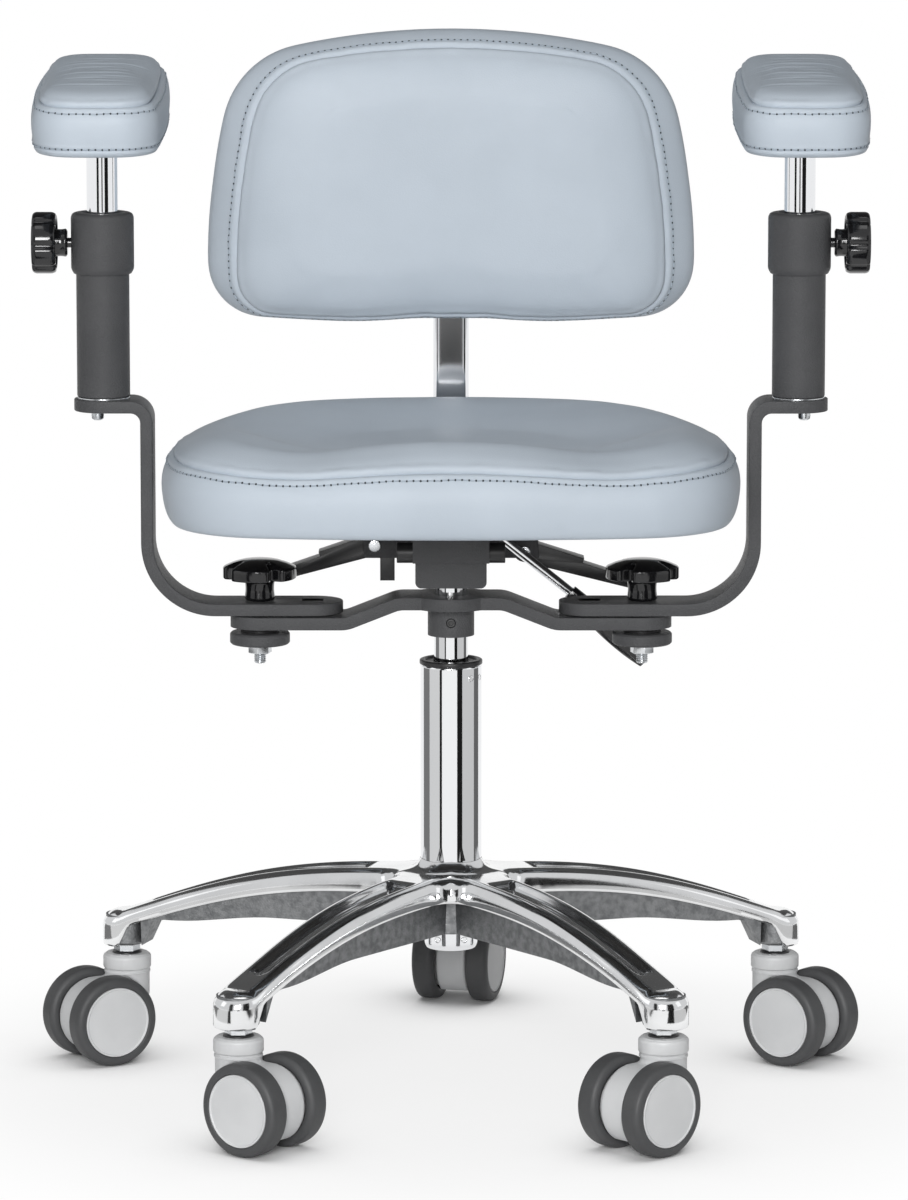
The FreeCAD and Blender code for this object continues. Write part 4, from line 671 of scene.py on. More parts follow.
# %% [markdown]
# ## Column and gas lift
# The column is a chromed tube with a rounded end cup below the base and a black guide bush on top. The
# lift's cylinder slides in it. All of them are lathe work. The cup and the tube's top also carry small
# punched dimples that hold the parts inside, so a shallow dish with a raised rim is turned once and set
# into the wall at each place.

# %% Column, cup, bush and cylinder
COLUMN = 25.0
COLUMN_TOP = 348.0
HUB_TOP = 183.0
column = lathe("column_tube", [
    (5.3, 123), (5.3, 119), (18.5, 119), (18.7, 112.4, 0.5), (20.0, 112, 0.6), (21.7, 115.5, 2.2),
    (21.7, 128.5), (COLUMN, HUB_TOP), (COLUMN, 346.8, 0.6), (24.4, COLUMN_TOP, 0.4), (22.4, COLUMN_TOP),
    (22.0, HUB_TOP), (18.7, 128.5), (18.7, 123), (5.3, 123)], 128)
fit(column, chrome, "base", "chrome", "column_tube")

bush = lathe("guide_bush", [
    (14.5, 292), (21.6, 292), (21.6, COLUMN_TOP + 0.15), (25.7, COLUMN_TOP + 0.15, 0.6), (25.7, 351.4, 1.2),
    (24.3, 352, 0.6), (21.5, 352, 0.4), (20.9, 350.6, 0.5), (15.4, 350.2, 0.4), (14.5, 351.0, 0.3),
    (14.5, 292)], 96)
fit(bush, satin_black, "base", "black_plastic", "column_bush")

paint(chrome, "gas_cylinder")
paint(zinc, "thrust_bearing", "piston_rod", "valve_pin")

dimple = lathe("dimple", [(0, -1.0), (1.2, -0.7), (1.9, 0.05, 0.4), (2.6, 0.3, 0.3), (3.0, -0.2)], 24)
DIMPLES = (  # radius of the wall, angle from the front in degrees, height
    (21.7, -30, 121), (21.7, 30, 121), (COLUMN, 41, 338), (COLUMN, 69, 338),
)
dimples = []
for number, (radius, angle, height) in enumerate(DIMPLES):
    out = Vector((math.sin(math.radians(angle)), -math.cos(math.radians(angle)), 0))
    copy = twin(dimple, f"punched_dimple_{number + 1}", along(out, out * radius + Vector((0, 0, height))))
    dimples.append(fit(copy, chrome, "base", "chrome"))
remove(dimple)
print("column turned, with", len(dimples), "dimples")

# %% [markdown]
# ## Five-star base
# Each leg is a polished band with two round crests and a long hollow channel between them that ends in a
# round nose, and it dies into its neighbours with a soft fillet. Polished metal shows every bump, so the
# top is made as one clean sheet: a grid is laid over a fifth of the star, its points are placed by how far
# they are from the edge, and four turned copies close the star. The rough cast webs below are a second
# piece.

# %% Heights of the star
STEM_CIRCLE = 285.0
LEG_START = 35.0
TIP_RADIUS = 20.0
FIFTH = math.radians(36.0)
FILLET = 16.0
FILLET_REACH = (24.5 + FILLET) / math.sin(FIFTH)
CROTCH = FILLET_REACH - FILLET
FLARE_END = 64.0
CHANNEL_TURN = 254.0
ROLL = 10.0


def ease(value):
    """A smooth step from 0 to 1."""
    value = min(1.0, max(0.0, value))
    return value * value * (3 - 2 * value)


def leg_share(x):
    return (x - LEG_START) / (STEM_CIRCLE - LEG_START)


def leg_half(x):
    """Half the band's width along the leg, widening again into the round tip."""
    straight = 25.0 - 6.5 * leg_share(x)
    return straight + (TIP_RADIUS - 18.5) * ease((x - 235.0) / 50.0)


def ridge(x):
    """The crest's height along the leg."""
    share = leg_share(x)
    return 178.0 - 52.0 * share + 13.5 * math.sin(math.pi * max(0.0, share))


def band_height(x):
    """The height of the polished band along the leg."""
    return 20.0 - 6.0 * leg_share(min(x, STEM_CIRCLE))


def edge_distance(x, y):
    """How far a point of the top is from the star's edge, with the fillet between the legs."""
    if x >= STEM_CIRCLE:
        return TIP_RADIUS - math.hypot(x - STEM_CIRCLE, y)
    centre_x, centre_y = FILLET_REACH * math.cos(FIFTH), FILLET_REACH * math.sin(FIFTH)
    if x < centre_x:
        return math.hypot(x - centre_x, abs(y) - centre_y) - FILLET
    return leg_half(x) - abs(y)


def star_height(x, y):
    """The top's height: crest, rounded edge, channel and the rise to the column."""
    distance = edge_distance(x, y)
    nose = ease((x - 276.0) / 26.0)
    width = ROLL + 5.0 * nose
    drop = 0.70 * band_height(x) * (1.0 - nose) + 14.0 * nose
    lean = min(1.0, max(0.0, 1.0 - distance / width))
    height = ridge(min(x, STEM_CIRCLE)) - drop * (1.0 - math.sqrt(max(0.0, 1.0 - lean * lean)))
    inside = min(distance - ROLL, x - 68.0)
    if x > CHANNEL_TURN:
        inside = leg_half(CHANNEL_TURN) - ROLL - math.hypot(x - CHANNEL_TURN, y)
    depth = (6.5 - 0.010 * max(0.0, x - 110.0)) * (1.0 - 0.35 * ease((x - 225.0) / 55.0))
    height -= depth * ease(inside / 7.0)
    reach = math.hypot(x, y)
    if reach < 36.0:
        rise = (36.0 - reach) / 10.6
        height += 6.5 * (1.0 - math.sqrt(max(0.0, 1.0 - min(1.0, rise) ** 2)))
    return height


print("crest at the hub and the tip:", round(ridge(60), 1), round(ridge(285), 1))

# %% One fifth of the star
COLUMNS = [0.0, 0.02, 0.05, 0.09, 0.14, 0.19, 0.24, 0.29, 0.335, 0.38, 0.425, 0.47, 0.52, 0.58, 0.66, 0.76,
           0.88, 1.0]
ACROSS = [1.0 - value for value in COLUMNS] + [value - 1.0 for value in reversed(COLUMNS[:-1])]
WALL = 5


def top_rows():
    """Rows of the grid from the column to the nose: each is a function from -1..1 across to a place."""
    rows = []
    for step in range(9):
        reach = 25.4 + (CROTCH - 25.4) * step / 8
        end = Vector((reach * math.cos(FIFTH), reach * math.sin(FIFTH)))
        rows.append((Vector((reach, 0)), end, False))
    centre = Vector((FILLET_REACH * math.cos(FIFTH), FILLET_REACH * math.sin(FIFTH)))
    for step in range(1, 11):
        share = step / 10
        start_angle = math.radians(216.0)
        angle = start_angle + (math.radians(270.0) - start_angle) * share
        end = centre + FILLET * Vector((math.cos(angle), math.sin(angle)))
        end.y = max(end.y, leg_half(end.x)) if share == 1 else end.y
        middle = CROTCH + (FLARE_END - CROTCH) * share
        end.x += (FLARE_END - centre.x) * share ** 3
        rows.append((Vector((middle, 0)), end, False))
    for step in range(1, 64):
        x = FLARE_END + (STEM_CIRCLE - FLARE_END) * step / 63
        rows.append((Vector((x, 0)), Vector((x, leg_half(x))), False))
    for step in range(1, 13):
        rows.append((math.pi / 2 * (1 - step / 12), None, True))
    return rows


def row_point(row, t):
    """A point of a row: straight across the leg, or a spoke of the round nose."""
    middle, end, nose = row
    if nose:
        turn = middle if t >= 0 else -middle
        spoke = TIP_RADIUS * abs(t)
        return Vector((STEM_CIRCLE + spoke * math.cos(turn), spoke * math.sin(turn)))
    return Vector((middle.x - (middle.x - end.x) * t * t, end.y * t))


def inward(x, y):
    """The direction from the star's edge into the metal."""
    if x >= STEM_CIRCLE:
        return Vector((STEM_CIRCLE - x, -y)).normalized()
    centre = Vector((FILLET_REACH * math.cos(FIFTH), math.copysign(FILLET_REACH * math.sin(FIFTH), y)))
    if x < centre.x:
        return (Vector((x, y)) - centre).normalized()
    return Vector((0, -math.copysign(1.0, y)))


def wall_points(place):
    """The side wall below an edge point: down to a rounded lower lip and in under the band."""
    x, y = place
    top = star_height(x, y)
    skirt = ease((x - 276.0) / 12.0)
    band = ridge(min(x, STEM_CIRCLE)) - band_height(x)
    low = band + (96.0 - band) * skirt
    inner = inward(x, y)
    steps = ((0.0, top + (low - top) * 0.5), (0.0, low + 2.2), (0.7, low + 0.6), (2.2, low), (7.5, low + 0.3))
    return [Vector((x + inner.x * inset, y + inner.y * inset, height)) for inset, height in steps]


rows = top_rows()
wide = len(ACROSS) + 2 * WALL
bench()
bpy.ops.mesh.primitive_grid_add(x_subdivisions=wide - 1, y_subdivisions=len(rows) - 1, size=1)
star = bpy.context.object
star.name = "base_star"
for index, row in enumerate(rows):
    line = [row_point(row, t) for t in ACROSS]
    line = [Vector((point.x, point.y, star_height(point.x, point.y))) for point in line]
    first, last = wall_points(line[0].xy), wall_points(line[-1].xy)
    for number, place in enumerate(list(reversed(first)) + line + last):
        star.data.vertices[index * wide + number].co = place * MM
bpy.ops.object.mode_set(mode="EDIT")
bpy.ops.mesh.select_mode(type="FACE")
bpy.ops.mesh.select_all(action="DESELECT")
sheet = bmesh.from_edit_mesh(star.data)
sheet.faces.ensure_lookup_table()
for face in sheet.faces:
    row_number, column_number = divmod(face.index, wide - 1)
    face.select_set(row_number < 8 and not WALL <= column_number < wide - 1 - WALL)
bmesh.update_edit_mesh(star.data)
bpy.ops.mesh.delete(type="FACE")
bpy.ops.object.mode_set(mode="OBJECT")
print("one fifth of the star:", len(star.data.polygons), "faces")

# %% Five fifths joined
LEG_ANGLES = (18, 90, 162, 234, 306)
fifths = [twin(star, f"fifth_{angle}", Matrix.Rotation(math.radians(angle), 4, "Z")) for angle in LEG_ANGLES]
remove(star)
star = joined(fifths, "base_star")
bpy.ops.object.mode_set(mode="EDIT")
bpy.ops.mesh.select_all(action="SELECT")
bpy.ops.mesh.remove_doubles(threshold=0.00003)
bpy.ops.mesh.normals_make_consistent(inside=False)
bpy.ops.object.mode_set(mode="OBJECT")
smooth(star, 50)
fit(star, polished_aluminium, "base", "polished_aluminium", "base_casting")
print("star:", len(star.data.polygons), "faces")

# %% [markdown]
# The webs are bare casting: a tapering rib under each band that runs from a round hub to the boss of a
# castor stem. A cube per rib is stretched to its place, cut across a few times, its rows pulled up to
# follow the arched band, and its edges rounded.

# %% Cast webs and hub
def cast_rib(angle):
    bench()
    bpy.ops.mesh.primitive_cube_add(size=1)
    rib = bpy.context.object
    rib.name = "base_rib"
    bpy.ops.object.mode_set(mode="EDIT")
    bpy.ops.mesh.select_all(action="SELECT")
    bpy.ops.mesh.subdivide(number_cuts=23)
    bpy.ops.object.mode_set(mode="OBJECT")
    for vertex in rib.data.vertices:
        x = 27.0 + (vertex.co.x + 0.5) * 240.0
        top = ridge(x) - band_height(x) + 2.5
        low = min(129.0 - 8.0 * ease((x - 150.0) / 90.0), top - 2.0) - 21.0 * ease((x - 251.0) / 16.0) ** 2
        half = 15.5 - 2.0 * (vertex.co.x + 0.5) + 2.0 * (vertex.co.z + 0.5)
        vertex.co = Vector((x, vertex.co.y * 2 * half, low + (top - low) * (vertex.co.z + 0.5))) * MM
    round_edges(rib, 2.5, 3, 50.0)
    rib.data.transform(Matrix.Rotation(math.radians(angle), 4, "Z"))
    return rib


ribs = [cast_rib(angle) for angle in LEG_ANGLES]
boss = lathe("stem_boss", [
    (5.0, 97.4), (15.6, 97.4, 0.8), (16.8, 98.8, 0.8), (17.4, 122.0), (5.0, 122.0)], 48)
for angle in LEG_ANGLES:
    turn = Matrix.Rotation(math.radians(angle), 4, "Z") @ Matrix.Translation((STEM_CIRCLE * MM, 0, 0))
    ribs.append(twin(boss, f"stem_boss_{angle}", turn))
remove(boss)
hub = lathe("base_hub", [
    (22.6, 129.2), (23.5, 128.5, 0.4), (33.0, 128.5, 1.5), (34.5, 160.0), (27.0, 172.0)], 96)
webs = joined([hub] + ribs, "base_webs")
smooth(webs, 40)
fit(webs, cast_aluminium, "base", "polished_aluminium")
paint(zinc, "caster_stems")
print("webs:", len(webs.data.polygons), "faces")

# %% [markdown]
# ## Castors
# Each castor has a moulded housing that swivels on a hexagon stem, with a drum between two wheels. The
# housing's solid has hard corners where the real moulding flows, so one copy is rebuilt from small cubes of
# a millimetre and smoothed, which rounds every edge alike. A collar ring sits on its head. Tyres and covers
# are turned.

# %% Castor places
HEADINGS = {18: -38.0, 90: 75.0, 162: 211.0, 234: -39.0, 306: 224.0}
TRAIL = 27.0
WHEEL = 37.5
WHEEL_OFF = 24.0


def castor_place(angle):
    """Where a castor's own space lies: its stem under the leg's tip, turned to its heading."""
    turn = math.radians(angle)
    stem = Vector((math.cos(turn), math.sin(turn), 0)) * STEM_CIRCLE * MM
    return Matrix.Translation(stem) @ Matrix.Rotation(math.radians(HEADINGS[angle]), 4, "Z")


print("castors at leg angles", list(HEADINGS))

# %% Housing, collar ring and seal
housing = merged_copy("caster_1_fork", "castor_housing")
housing.data.transform(castor_place(18).inverted())
melt = housing.modifiers.new("melt", "REMESH")
melt.mode = "VOXEL"
melt.voxel_size = 0.0011
flow = housing.modifiers.new("flow", "SMOOTH")
flow.factor = 0.5
flow.iterations = 9
apply_all(housing)
smooth(housing, 60)

ring = lathe("castor_collar", [
    (12.6, 80), (12.6, 88.4, 0.4), (13.6, 89.0, 0.5), (15.4, 88.8, 0.6), (19.0, 87.6, 1.2), (20.0, 86.2, 1.0),
    (20.0, 77.2, 0.6), (19.2, 76.2, 0.5), (17.5, 76.2), (17.5, 80), (12.6, 80)], 72)
band = lathe("castor_band", [
    (17.6, 74.4), (19.4, 74.4, 0.3), (19.4, 72.6, 0.3), (17.6, 72.6), (17.6, 74.4)], 72)
seal = lathe("castor_seal", [
    (9.0, 86.5), (12.4, 86.5), (12.4, 90.0, 0.8), (10.6, 91.2, 0.6), (9.0, 91.2), (9.0, 86.5)], 48)
tyre = lathe("castor_tyre", [
    (28.9, -9.0), (30.6, -9.9, 0.5), (34.2, -9.9, 2.2), (37.5, -7.2, 3.2), (37.5, 4.6, 3.0), (36.7, 7.9, 2.0),
    (33.6, 9.9, 2.6), (30.2, 9.9, 0.6), (29.3, 9.0, 0.4), (28.9, 7.5), (28.9, -9.0)], 128, 5)
cover = lathe("castor_cover", [
    (0, 10.0), (18, 9.9, 5), (27.2, 9.3, 0.5), (27.7, 9.9, 0.3), (28.7, 9.9, 0.3), (29.1, 9.2, 0.3),
    (29.1, 7.2), (26.0, 7.0), (26.0, -7.5, 1.0), (10.0, -9.0, 1.0), (0, -9.0)], 128)
print("castor pattern:", len(housing.data.polygons), "faces in the housing")

# %% Five castors
for number, angle in enumerate(LEG_ANGLES, 1):
    place = castor_place(angle)
    body = f"caster_{number}"
    fit(twin(housing, f"castor_{number}_housing", place), pale_plastic, body, "grey_plastic",
        f"caster_{number}_fork")
    fit(twin(ring, f"castor_{number}_collar", place), pale_plastic, body, "grey_plastic")
    fit(twin(band, f"castor_{number}_band", place), pale_plastic, body, "grey_plastic")
    fit(twin(seal, f"castor_{number}_seal", place), satin_black, body, "black_plastic")
    for letter, side in (("a", 1), ("b", -1)):
        wheel_body = f"{body}_wheel_{letter}"
        hub_place = place @ along((0, side, 0), (TRAIL, side * WHEEL_OFF, WHEEL))
        fit(twin(tyre, f"castor_{number}_tyre_{letter}", hub_place), tyre_grey, wheel_body, "grey_tread",
            wheel_body)
        fit(twin(cover, f"castor_{number}_cover_{letter}", hub_place), pale_plastic, wheel_body,
            "grey_plastic")
for pattern in (housing, ring, band, seal, tyre, cover):
    remove(pattern)
print("castors placed:", len(LEG_ANGLES))

# %% [markdown]
# ## Cross bar and swing bars
# The arms stand on bars of flat steel, ten millimetres thick, bent cold and powder coated. Their solids are
# right, so copies only get the small rounded edges that the coating leaves. A blank stamped field on each
# bar stays empty.

# %% Bars with eased edges
carrier = eased("arm_carrier", "cross_bar", 1.1)
fit(carrier, powder_coat, "chassis", "black_powder_coat", "arm_carrier")
for side in SIDES:
    bar = eased(f"{side}_swing_bar", f"{side}_bent_bar", 1.1)
    fit(bar, powder_coat, f"{side}_arm", "black_powder_coat", f"{side}_swing_bar")

BAR_TOP = 400.5
for side, sign in SIDES.items():
    bench()
    bpy.ops.mesh.primitive_plane_add(size=1, location=(sign * 113 * MM, 0, (BAR_TOP + 0.1) * MM))
    field = bpy.context.object
    field.name = f"{side}_blank_field"
    field.scale = (20 * MM, 13 * MM, 1)
    bpy.ops.object.transform_apply(location=True, rotation=True, scale=True)
    bpy.ops.object.mode_set(mode="EDIT")
    bpy.ops.mesh.select_all(action="SELECT")
    bpy.ops.mesh.inset(thickness=0.0012, depth=-0.0001)
    bpy.ops.mesh.select_all(action="SELECT")
    bpy.ops.mesh.extrude_region_move(TRANSFORM_OT_translate={"value": (0, 0, -0.0004)})
    bpy.ops.mesh.select_all(action="SELECT")
    bpy.ops.mesh.normals_make_consistent(inside=False)
    bpy.ops.object.mode_set(mode="OBJECT")
    fit(field, satin_black, f"{side}_arm", "black_powder_coat")
print("bars:", carrier.name, [f"{side}_bent_bar" for side in SIDES])

# %% [markdown]
# ## Pivots under the arms
# Each pivot is a threaded stud with a hexagon nut, a friction disc with a bevelled rim and a thin washer
# above it. A thread cut as rings reads as a thread at this size. The nut starts as a six-sided cylinder
# whose end faces are inset and pulled out, which gives the chamfered corners of a real nut.

# %% Studs, nuts, discs and washers
PIVOT = 156.0


def threaded(name, radius, low, high, pitch, thread_to):
    """A stud whose lower part is ringed like a thread."""
    corners = [(0, low), (radius - 1.2, low), (radius - 0.3, low + 0.9)]
    height = low + 1.2
    while height < thread_to:
        corners += [(radius - 0.62, height), (radius, height + pitch / 2)]
        height += pitch
    corners += [(radius, height), (radius, high), (0, high)]
    return lathe(name, corners, 40)


def nut(name, across, low, high):
    """A hexagon nut with chamfered corners on both faces."""
    bench()
    corner = across / math.sqrt(3)
    bpy.ops.mesh.primitive_cylinder_add(vertices=6, radius=corner * MM, depth=(high - low) * MM,
                                        location=(0, 0, (low + high) / 2 * MM))
    piece = bpy.context.object
    piece.name = name
    bpy.ops.object.transform_apply(location=True, rotation=True, scale=True)
    bpy.ops.object.mode_set(mode="EDIT")
    bpy.ops.mesh.select_mode(type="FACE")
    for sign in (-1, 1):
        select_end(piece, sign)
        bpy.ops.transform.translate(value=(0, 0, -sign * 0.8 * MM))
        bpy.ops.mesh.inset(thickness=1.4 * MM, depth=0.8 * MM)
    bpy.ops.object.mode_set(mode="OBJECT")
    round_edges(piece, 0.25, 2, 30.0)
    smooth(piece, 30)
    return piece


stud = threaded("pivot_stud", 5.0, 348.5, 415.5, 1.5, 365.5)
hexagon_nut = nut("pivot_nut", 17.0, 356.5, 364.5)
washer = lathe("pivot_washer", [(5.0, 374.7), (15.5, 374.7, 0.3), (15.5, 376.7, 0.3), (17.0, 377.0, 0.3),
                                (17.0, 378.8, 0.3), (5.0, 378.8)], 64)
disc = lathe("friction_disc", [(5.2, 364.5), (23.0, 364.5, 0.4), (24.5, 366.0, 0.5), (24.5, 373.0, 0.6),
                               (23.0, 374.5, 0.5), (5.2, 374.5)], 96)
for side, sign in SIDES.items():
    shift = Matrix.Translation((sign * PIVOT * MM, 0, 0))
    turn = shift @ Matrix.Rotation(math.radians(14 * sign), 4, "Z")
    stands_for = ["arm_pivot_bolts"] if sign < 0 else []
    fit(twin(stud, f"{side}_pivot_stud", shift), zinc, "chassis", "zinc_steel", *stands_for)
    fit(twin(hexagon_nut, f"{side}_pivot_nut", turn), zinc, "chassis", "zinc_steel")
    fit(twin(washer, f"{side}_pivot_washer", shift), satin_black, "chassis", "black_plastic")
    stands_for = ["friction_discs"] if sign < 0 else []
    fit(twin(disc, f"{side}_friction_disc", shift), powder_coat, "chassis", "black_powder_coat", *stands_for)
for pattern in (stud, hexagon_nut, washer, disc):
    remove(pattern)

grub = lathe("grub_screw", [
    (0, -2.6), (1.9, -2.6), (1.9, 0.0, 0.2), (3.2, 0.0, 0.3), (3.7, -0.5), (3.7, -4.8), (0, -4.8)], 24)
grub.data.transform(along((0, -1, 0), (0, -19.15, 384)))
fit(grub, satin_black, "chassis", "zinc_steel", "set_screw")
print("pivots placed:", len(SIDES))

# %% [markdown]
# ## Knobs
# The star knobs on the pivots have four wide lobes and a domed top, the clamp knobs seven shallow lobes and
# a hollow back. Both are turned first. Then the rim is pressed in along the grooves, most at the rim and
# not at all near the middle, as a mould would do it.

# %% Star knobs and clamp knobs
def press_grooves(piece, count, first, half_width, depth, start, full):
    """Presses grooves into a turned head, centred on angles from the first one, in degrees."""
    step = 360.0 / count
    for vertex in piece.data.vertices:
        reach = math.hypot(vertex.co.x, vertex.co.y) / MM
        if reach <= start:
            continue
        off = (math.degrees(math.atan2(vertex.co.y, vertex.co.x)) - first) % step
        off = min(off, step - off)
        press = depth * (1 - ease(off / half_width)) * ease((reach - start) / (full - start))
        vertex.co.x *= (reach - press) / reach
        vertex.co.y *= (reach - press) / reach
    piece.data.update()


STAR_OUTLINE = [
    (0, 400.8), (11.4, 400.8, 0.8), (12.4, 402.5, 1.2), (11.5, 410.0, 4), (12.2, 416.5, 3), (16.0, 418.6, 2),
    (22.0, 418.8, 1), (28.8, 418.4, 0.8), (30.0, 419.4, 0.9), (30.0, 427.6, 0.9), (28.8, 428.8, 0.8),
    (22.0, 431.8, 3), (14.0, 434.0, 5), (7.0, 434.8, 4), (0, 435.0)]
STAR_TURN = {"left": -62.0, "right": -28.0}
for side, sign in SIDES.items():
    knob = lathe(f"{side}_star_handle", STAR_OUTLINE, 180, 5)
    press_grooves(knob, 4, STAR_TURN[side], 15.0, 8.5, 14.0, 24.0)
    knob.data.transform(Matrix.Translation((sign * PIVOT * MM, 0, 0)))
    smooth(knob, 50)
    fit(knob, gloss_black, f"{side}_star_knob", "black_plastic", f"{side}_star_knob")

CLAMP_OUTLINE = [
    (0, -4.8), (4.0, -4.8), (4.0, 0.6), (9.5, 0.6, 0.5), (11.5, 1.8, 1.0), (10.8, 6.0, 2), (11.5, 12.5),
    (19.5, 13.0, 1), (20.5, 10.0, 0.8), (22.4, 9.5, 0.8), (23.9, 10.4, 1.0), (25.0, 13.0, 2),
    (25.0, 26.5, 2), (23.6, 29.0, 2), (17.0, 29.5, 3), (14.0, 28.3, 1.5), (0, 28.3)]
clamp = lathe("clamp_handle", CLAMP_OUTLINE, 168)
press_grooves(clamp, 7, 12.0, 11.0, 2.6, 19.0, 24.0)
smooth(clamp, 50)
CLAMP_PLACES = {"left": ((-1, 0, 0), (-309.5, 0, 693)), "right": ((1, 0, 0), (309.5, 0, 693)),
                "back": ((0, 1, 0), (0, 256, 702))}
for label, (axis, place) in CLAMP_PLACES.items():
    body = "back_knob" if label == "back" else f"{label}_clamp_knob"
    fit(twin(clamp, f"{label}_clamp_handle", along(axis, place)), gloss_black, body, "black_plastic", body)
    pin = lathe(f"{label}_clamp_screw", [(0, -14), (3.9, -14, 0.3), (3.9, 1.5), (0, 1.5)], 32)
    pin.data.transform(along(axis, place))
    fit(pin, zinc, body, "zinc_steel")
remove(clamp)
print("knobs:", len(STAR_TURN) + len(CLAMP_PLACES))

# %% [markdown]
# ## Posts
# Each arm's post is a coated tube under a thicker clamp collar, and a chromed rod slides in it. The
# collar's rims are well rounded and a dark gap shows round the rod. Below the bent tab a bolt end sticks
# out.

# %% Tubes, collars, rods and bolts
POST = 282.0
tube = lathe("post_tube", [
    (12.9, 583), (0, 583), (0, 567.9), (20.6, 567.9, 0.5), (21.5, 568.8, 0.5), (21.5, 709),
    (13.2, 709), (12.9, 700), (12.9, 583)], 96)
collar = lathe("clamp_collar", [
    (21.65, 668.6), (22.4, 668.0, 0.4), (23.4, 668.3, 1.0), (25.5, 672.0, 2.2), (25.5, 714.2, 2.0),
    (24.2, 717.0, 2.0), (21.0, 718.0, 1.2), (17.4, 718.0, 0.6), (16.4, 717.2, 0.5), (14.6, 715.2, 0.6),
    (13.0, 714.8), (13.0, 700), (21.65, 700), (21.65, 668.6)], 96)
rod = lathe("pad_rod", [
    (9.9, 630), (12.2, 630, 0.4), (12.6, 630.6), (12.6, 786.5), (9.9, 786.5), (9.9, 630)], 96)
bolt = lathe("post_bolt", [(0, 548.5), (3.4, 548.5, 0.3), (4.9, 549.8, 0.4), (5.15, 552, 0.3), (5.15, 566.6),
                           (5.15, 578.4), (0, 578.4)], 40)
base_washer = lathe("post_washer", [(5.3, 566.55), (21.2, 566.55, 0.2), (21.2, 567.7, 0.2), (5.3, 567.7)], 64)
for side, sign in SIDES.items():
    shift = Matrix.Translation((sign * POST * MM, 0, 0))
    out = shift @ Matrix.Translation((sign * 5.0 * MM, 0, 0))
    arm = f"{side}_arm"
    fit(twin(tube, f"{side}_outer_tube", shift), powder_coat, arm, "black_powder_coat", f"{side}_post_tube")
    fit(twin(collar, f"{side}_collar", shift), powder_coat, arm, "black_powder_coat", f"{side}_clamp_collar")
    fit(twin(rod, f"{side}_chrome_rod", shift), chrome, f"{side}_pad_rod", "chrome", f"{side}_pad_rod")
    fit(twin(bolt, f"{side}_bolt_end", out), zinc, arm, "zinc_steel", f"{side}_post_bolt")
    fit(twin(base_washer, f"{side}_base_washer", shift), zinc, arm, "zinc_steel")
for pattern in (tube, collar, rod, bolt, base_washer):
    remove(pattern)
print("posts at", POST, "mm from the middle")

# %% [markdown]
# ## Mechanism, levers and back bar
# Folded steel and a pressed skirt keep the shape of their solids. What tells the pieces apart is the edge:
# about a millimetre on coated sheet, more on a moulded paddle that a hand takes hold of, and less on a pin.

# %% Folded steel and pins
fit(eased("mechanism_housing", "folded_housing", 1.0), powder_coat, "chassis", "black_powder_coat",
    "mechanism_housing")
fit(eased("seat_carrier", "seat_skirt", 1.2), powder_coat, "seat", "black_powder_coat", "seat_carrier")
fit(eased("pivot_pins", "pivot_barrels", 0.7), satin_black, "chassis", "zinc_steel", "pivot_pins")
fit(eased("lever_pins", "lever_rivets", 0.5), zinc, "seat", "zinc_steel", "lever_pins")
print("folded steel and pins finished")

# %% [markdown]
# The blades of the two paddles get thinner towards their tips, which their solids leave out.

# %% Levers
def thinned(paddle, length, share):
    """Thins the underside of a paddle toward its tip, so that the blade ends in a soft lip."""
    spots = np.array([[abs(vertex.co.x), vertex.co.z] for vertex in paddle.data.vertices]) / MM
    tip = spots[:, 0].max()
    near = spots[spots[:, 0] > tip - length]
    slope, start = np.polyfit(near[:, 0], near[:, 1], 1)
    for vertex, (out, height) in zip(paddle.data.vertices, spots):
        middle = start + slope * out
        if height < middle:
            vertex.co.z += share * ease((out - tip + length) / length) * (middle - height) * MM
    paddle.data.update()
    return paddle


for node, name in (("tilt_lever", "tilt_paddle"), ("back_lever", "back_paddle")):
    fit(thinned(eased(node, name, 2.4, 4), 55.0, 0.75), satin_black, node, "black_plastic", node)
fit(eased("height_lever_grip", "height_grip", 2.0, 4), gloss_black, "height_lever", "black_plastic",
    "height_lever_grip")
paint(chrome, "height_lever_rod")
print("levers finished")

# %% Back bar, clamp block, shell and boards
back_bar = fit(eased("back_bar", "bent_back_bar", 0.8), chrome, "back_arm", "chrome", "back_bar")
back_bar.visible_diffuse = False  # or its mirror image of the lamp lights a patch on the seat
fit(eased("back_clamp", "sliding_block", 1.5, 4), shell_black, "backrest", "shell_plastic", "back_clamp")
fit(eased("back_shell", "rear_shell", 3.0, 4), shell_black, "backrest", "shell_plastic", "back_shell")
fit(eased("seat_board", "seat_base_board", 0.8), stained_board, "seat", "board", "seat_board")
for side in SIDES:
    board = eased(f"{side}_pad_plate", f"{side}_pad_board", 0.8)
    fit(board, stained_board, f"{side}_pad", "board", f"{side}_pad_plate")
print("back bar, shell and boards finished")

# %% [markdown]
# ## Cushions: the cover as a cage
# A vinyl cover is a top panel and a border strip, sewn together round a seam and pulled over foam. The cage
# follows that pattern: a grid is the middle of the top panel, and its rim is extruded ring by ring over the
# roll, through the seam, down the border and under the board. Each ring is measured on the CAD solid, so
# the cover keeps its form.

# %% Measuring a solid and building the cage
OUTSIDE = 600  # millimetres, beyond every cushion
TURNS = 721  # samples round a seam


def reach_finder(node, place):
    """A measure of how far a soft solid reaches from its middle, in millimetres, at an angle and a level."""
    tree = BVHTree.FromObject(NODES[node], bpy.context.evaluated_depsgraph_get())

    def reach(angle, level):
        out = Vector((math.cos(angle), math.sin(angle), 0))
        start = place @ ((out * OUTSIDE + Vector((0, 0, level))) * MM)
        hit = tree.ray_cast(start, -(place.to_3x3() @ out))[0]
        inside = place.inverted() @ hit / MM
        return math.hypot(inside.x, inside.y)

    return reach


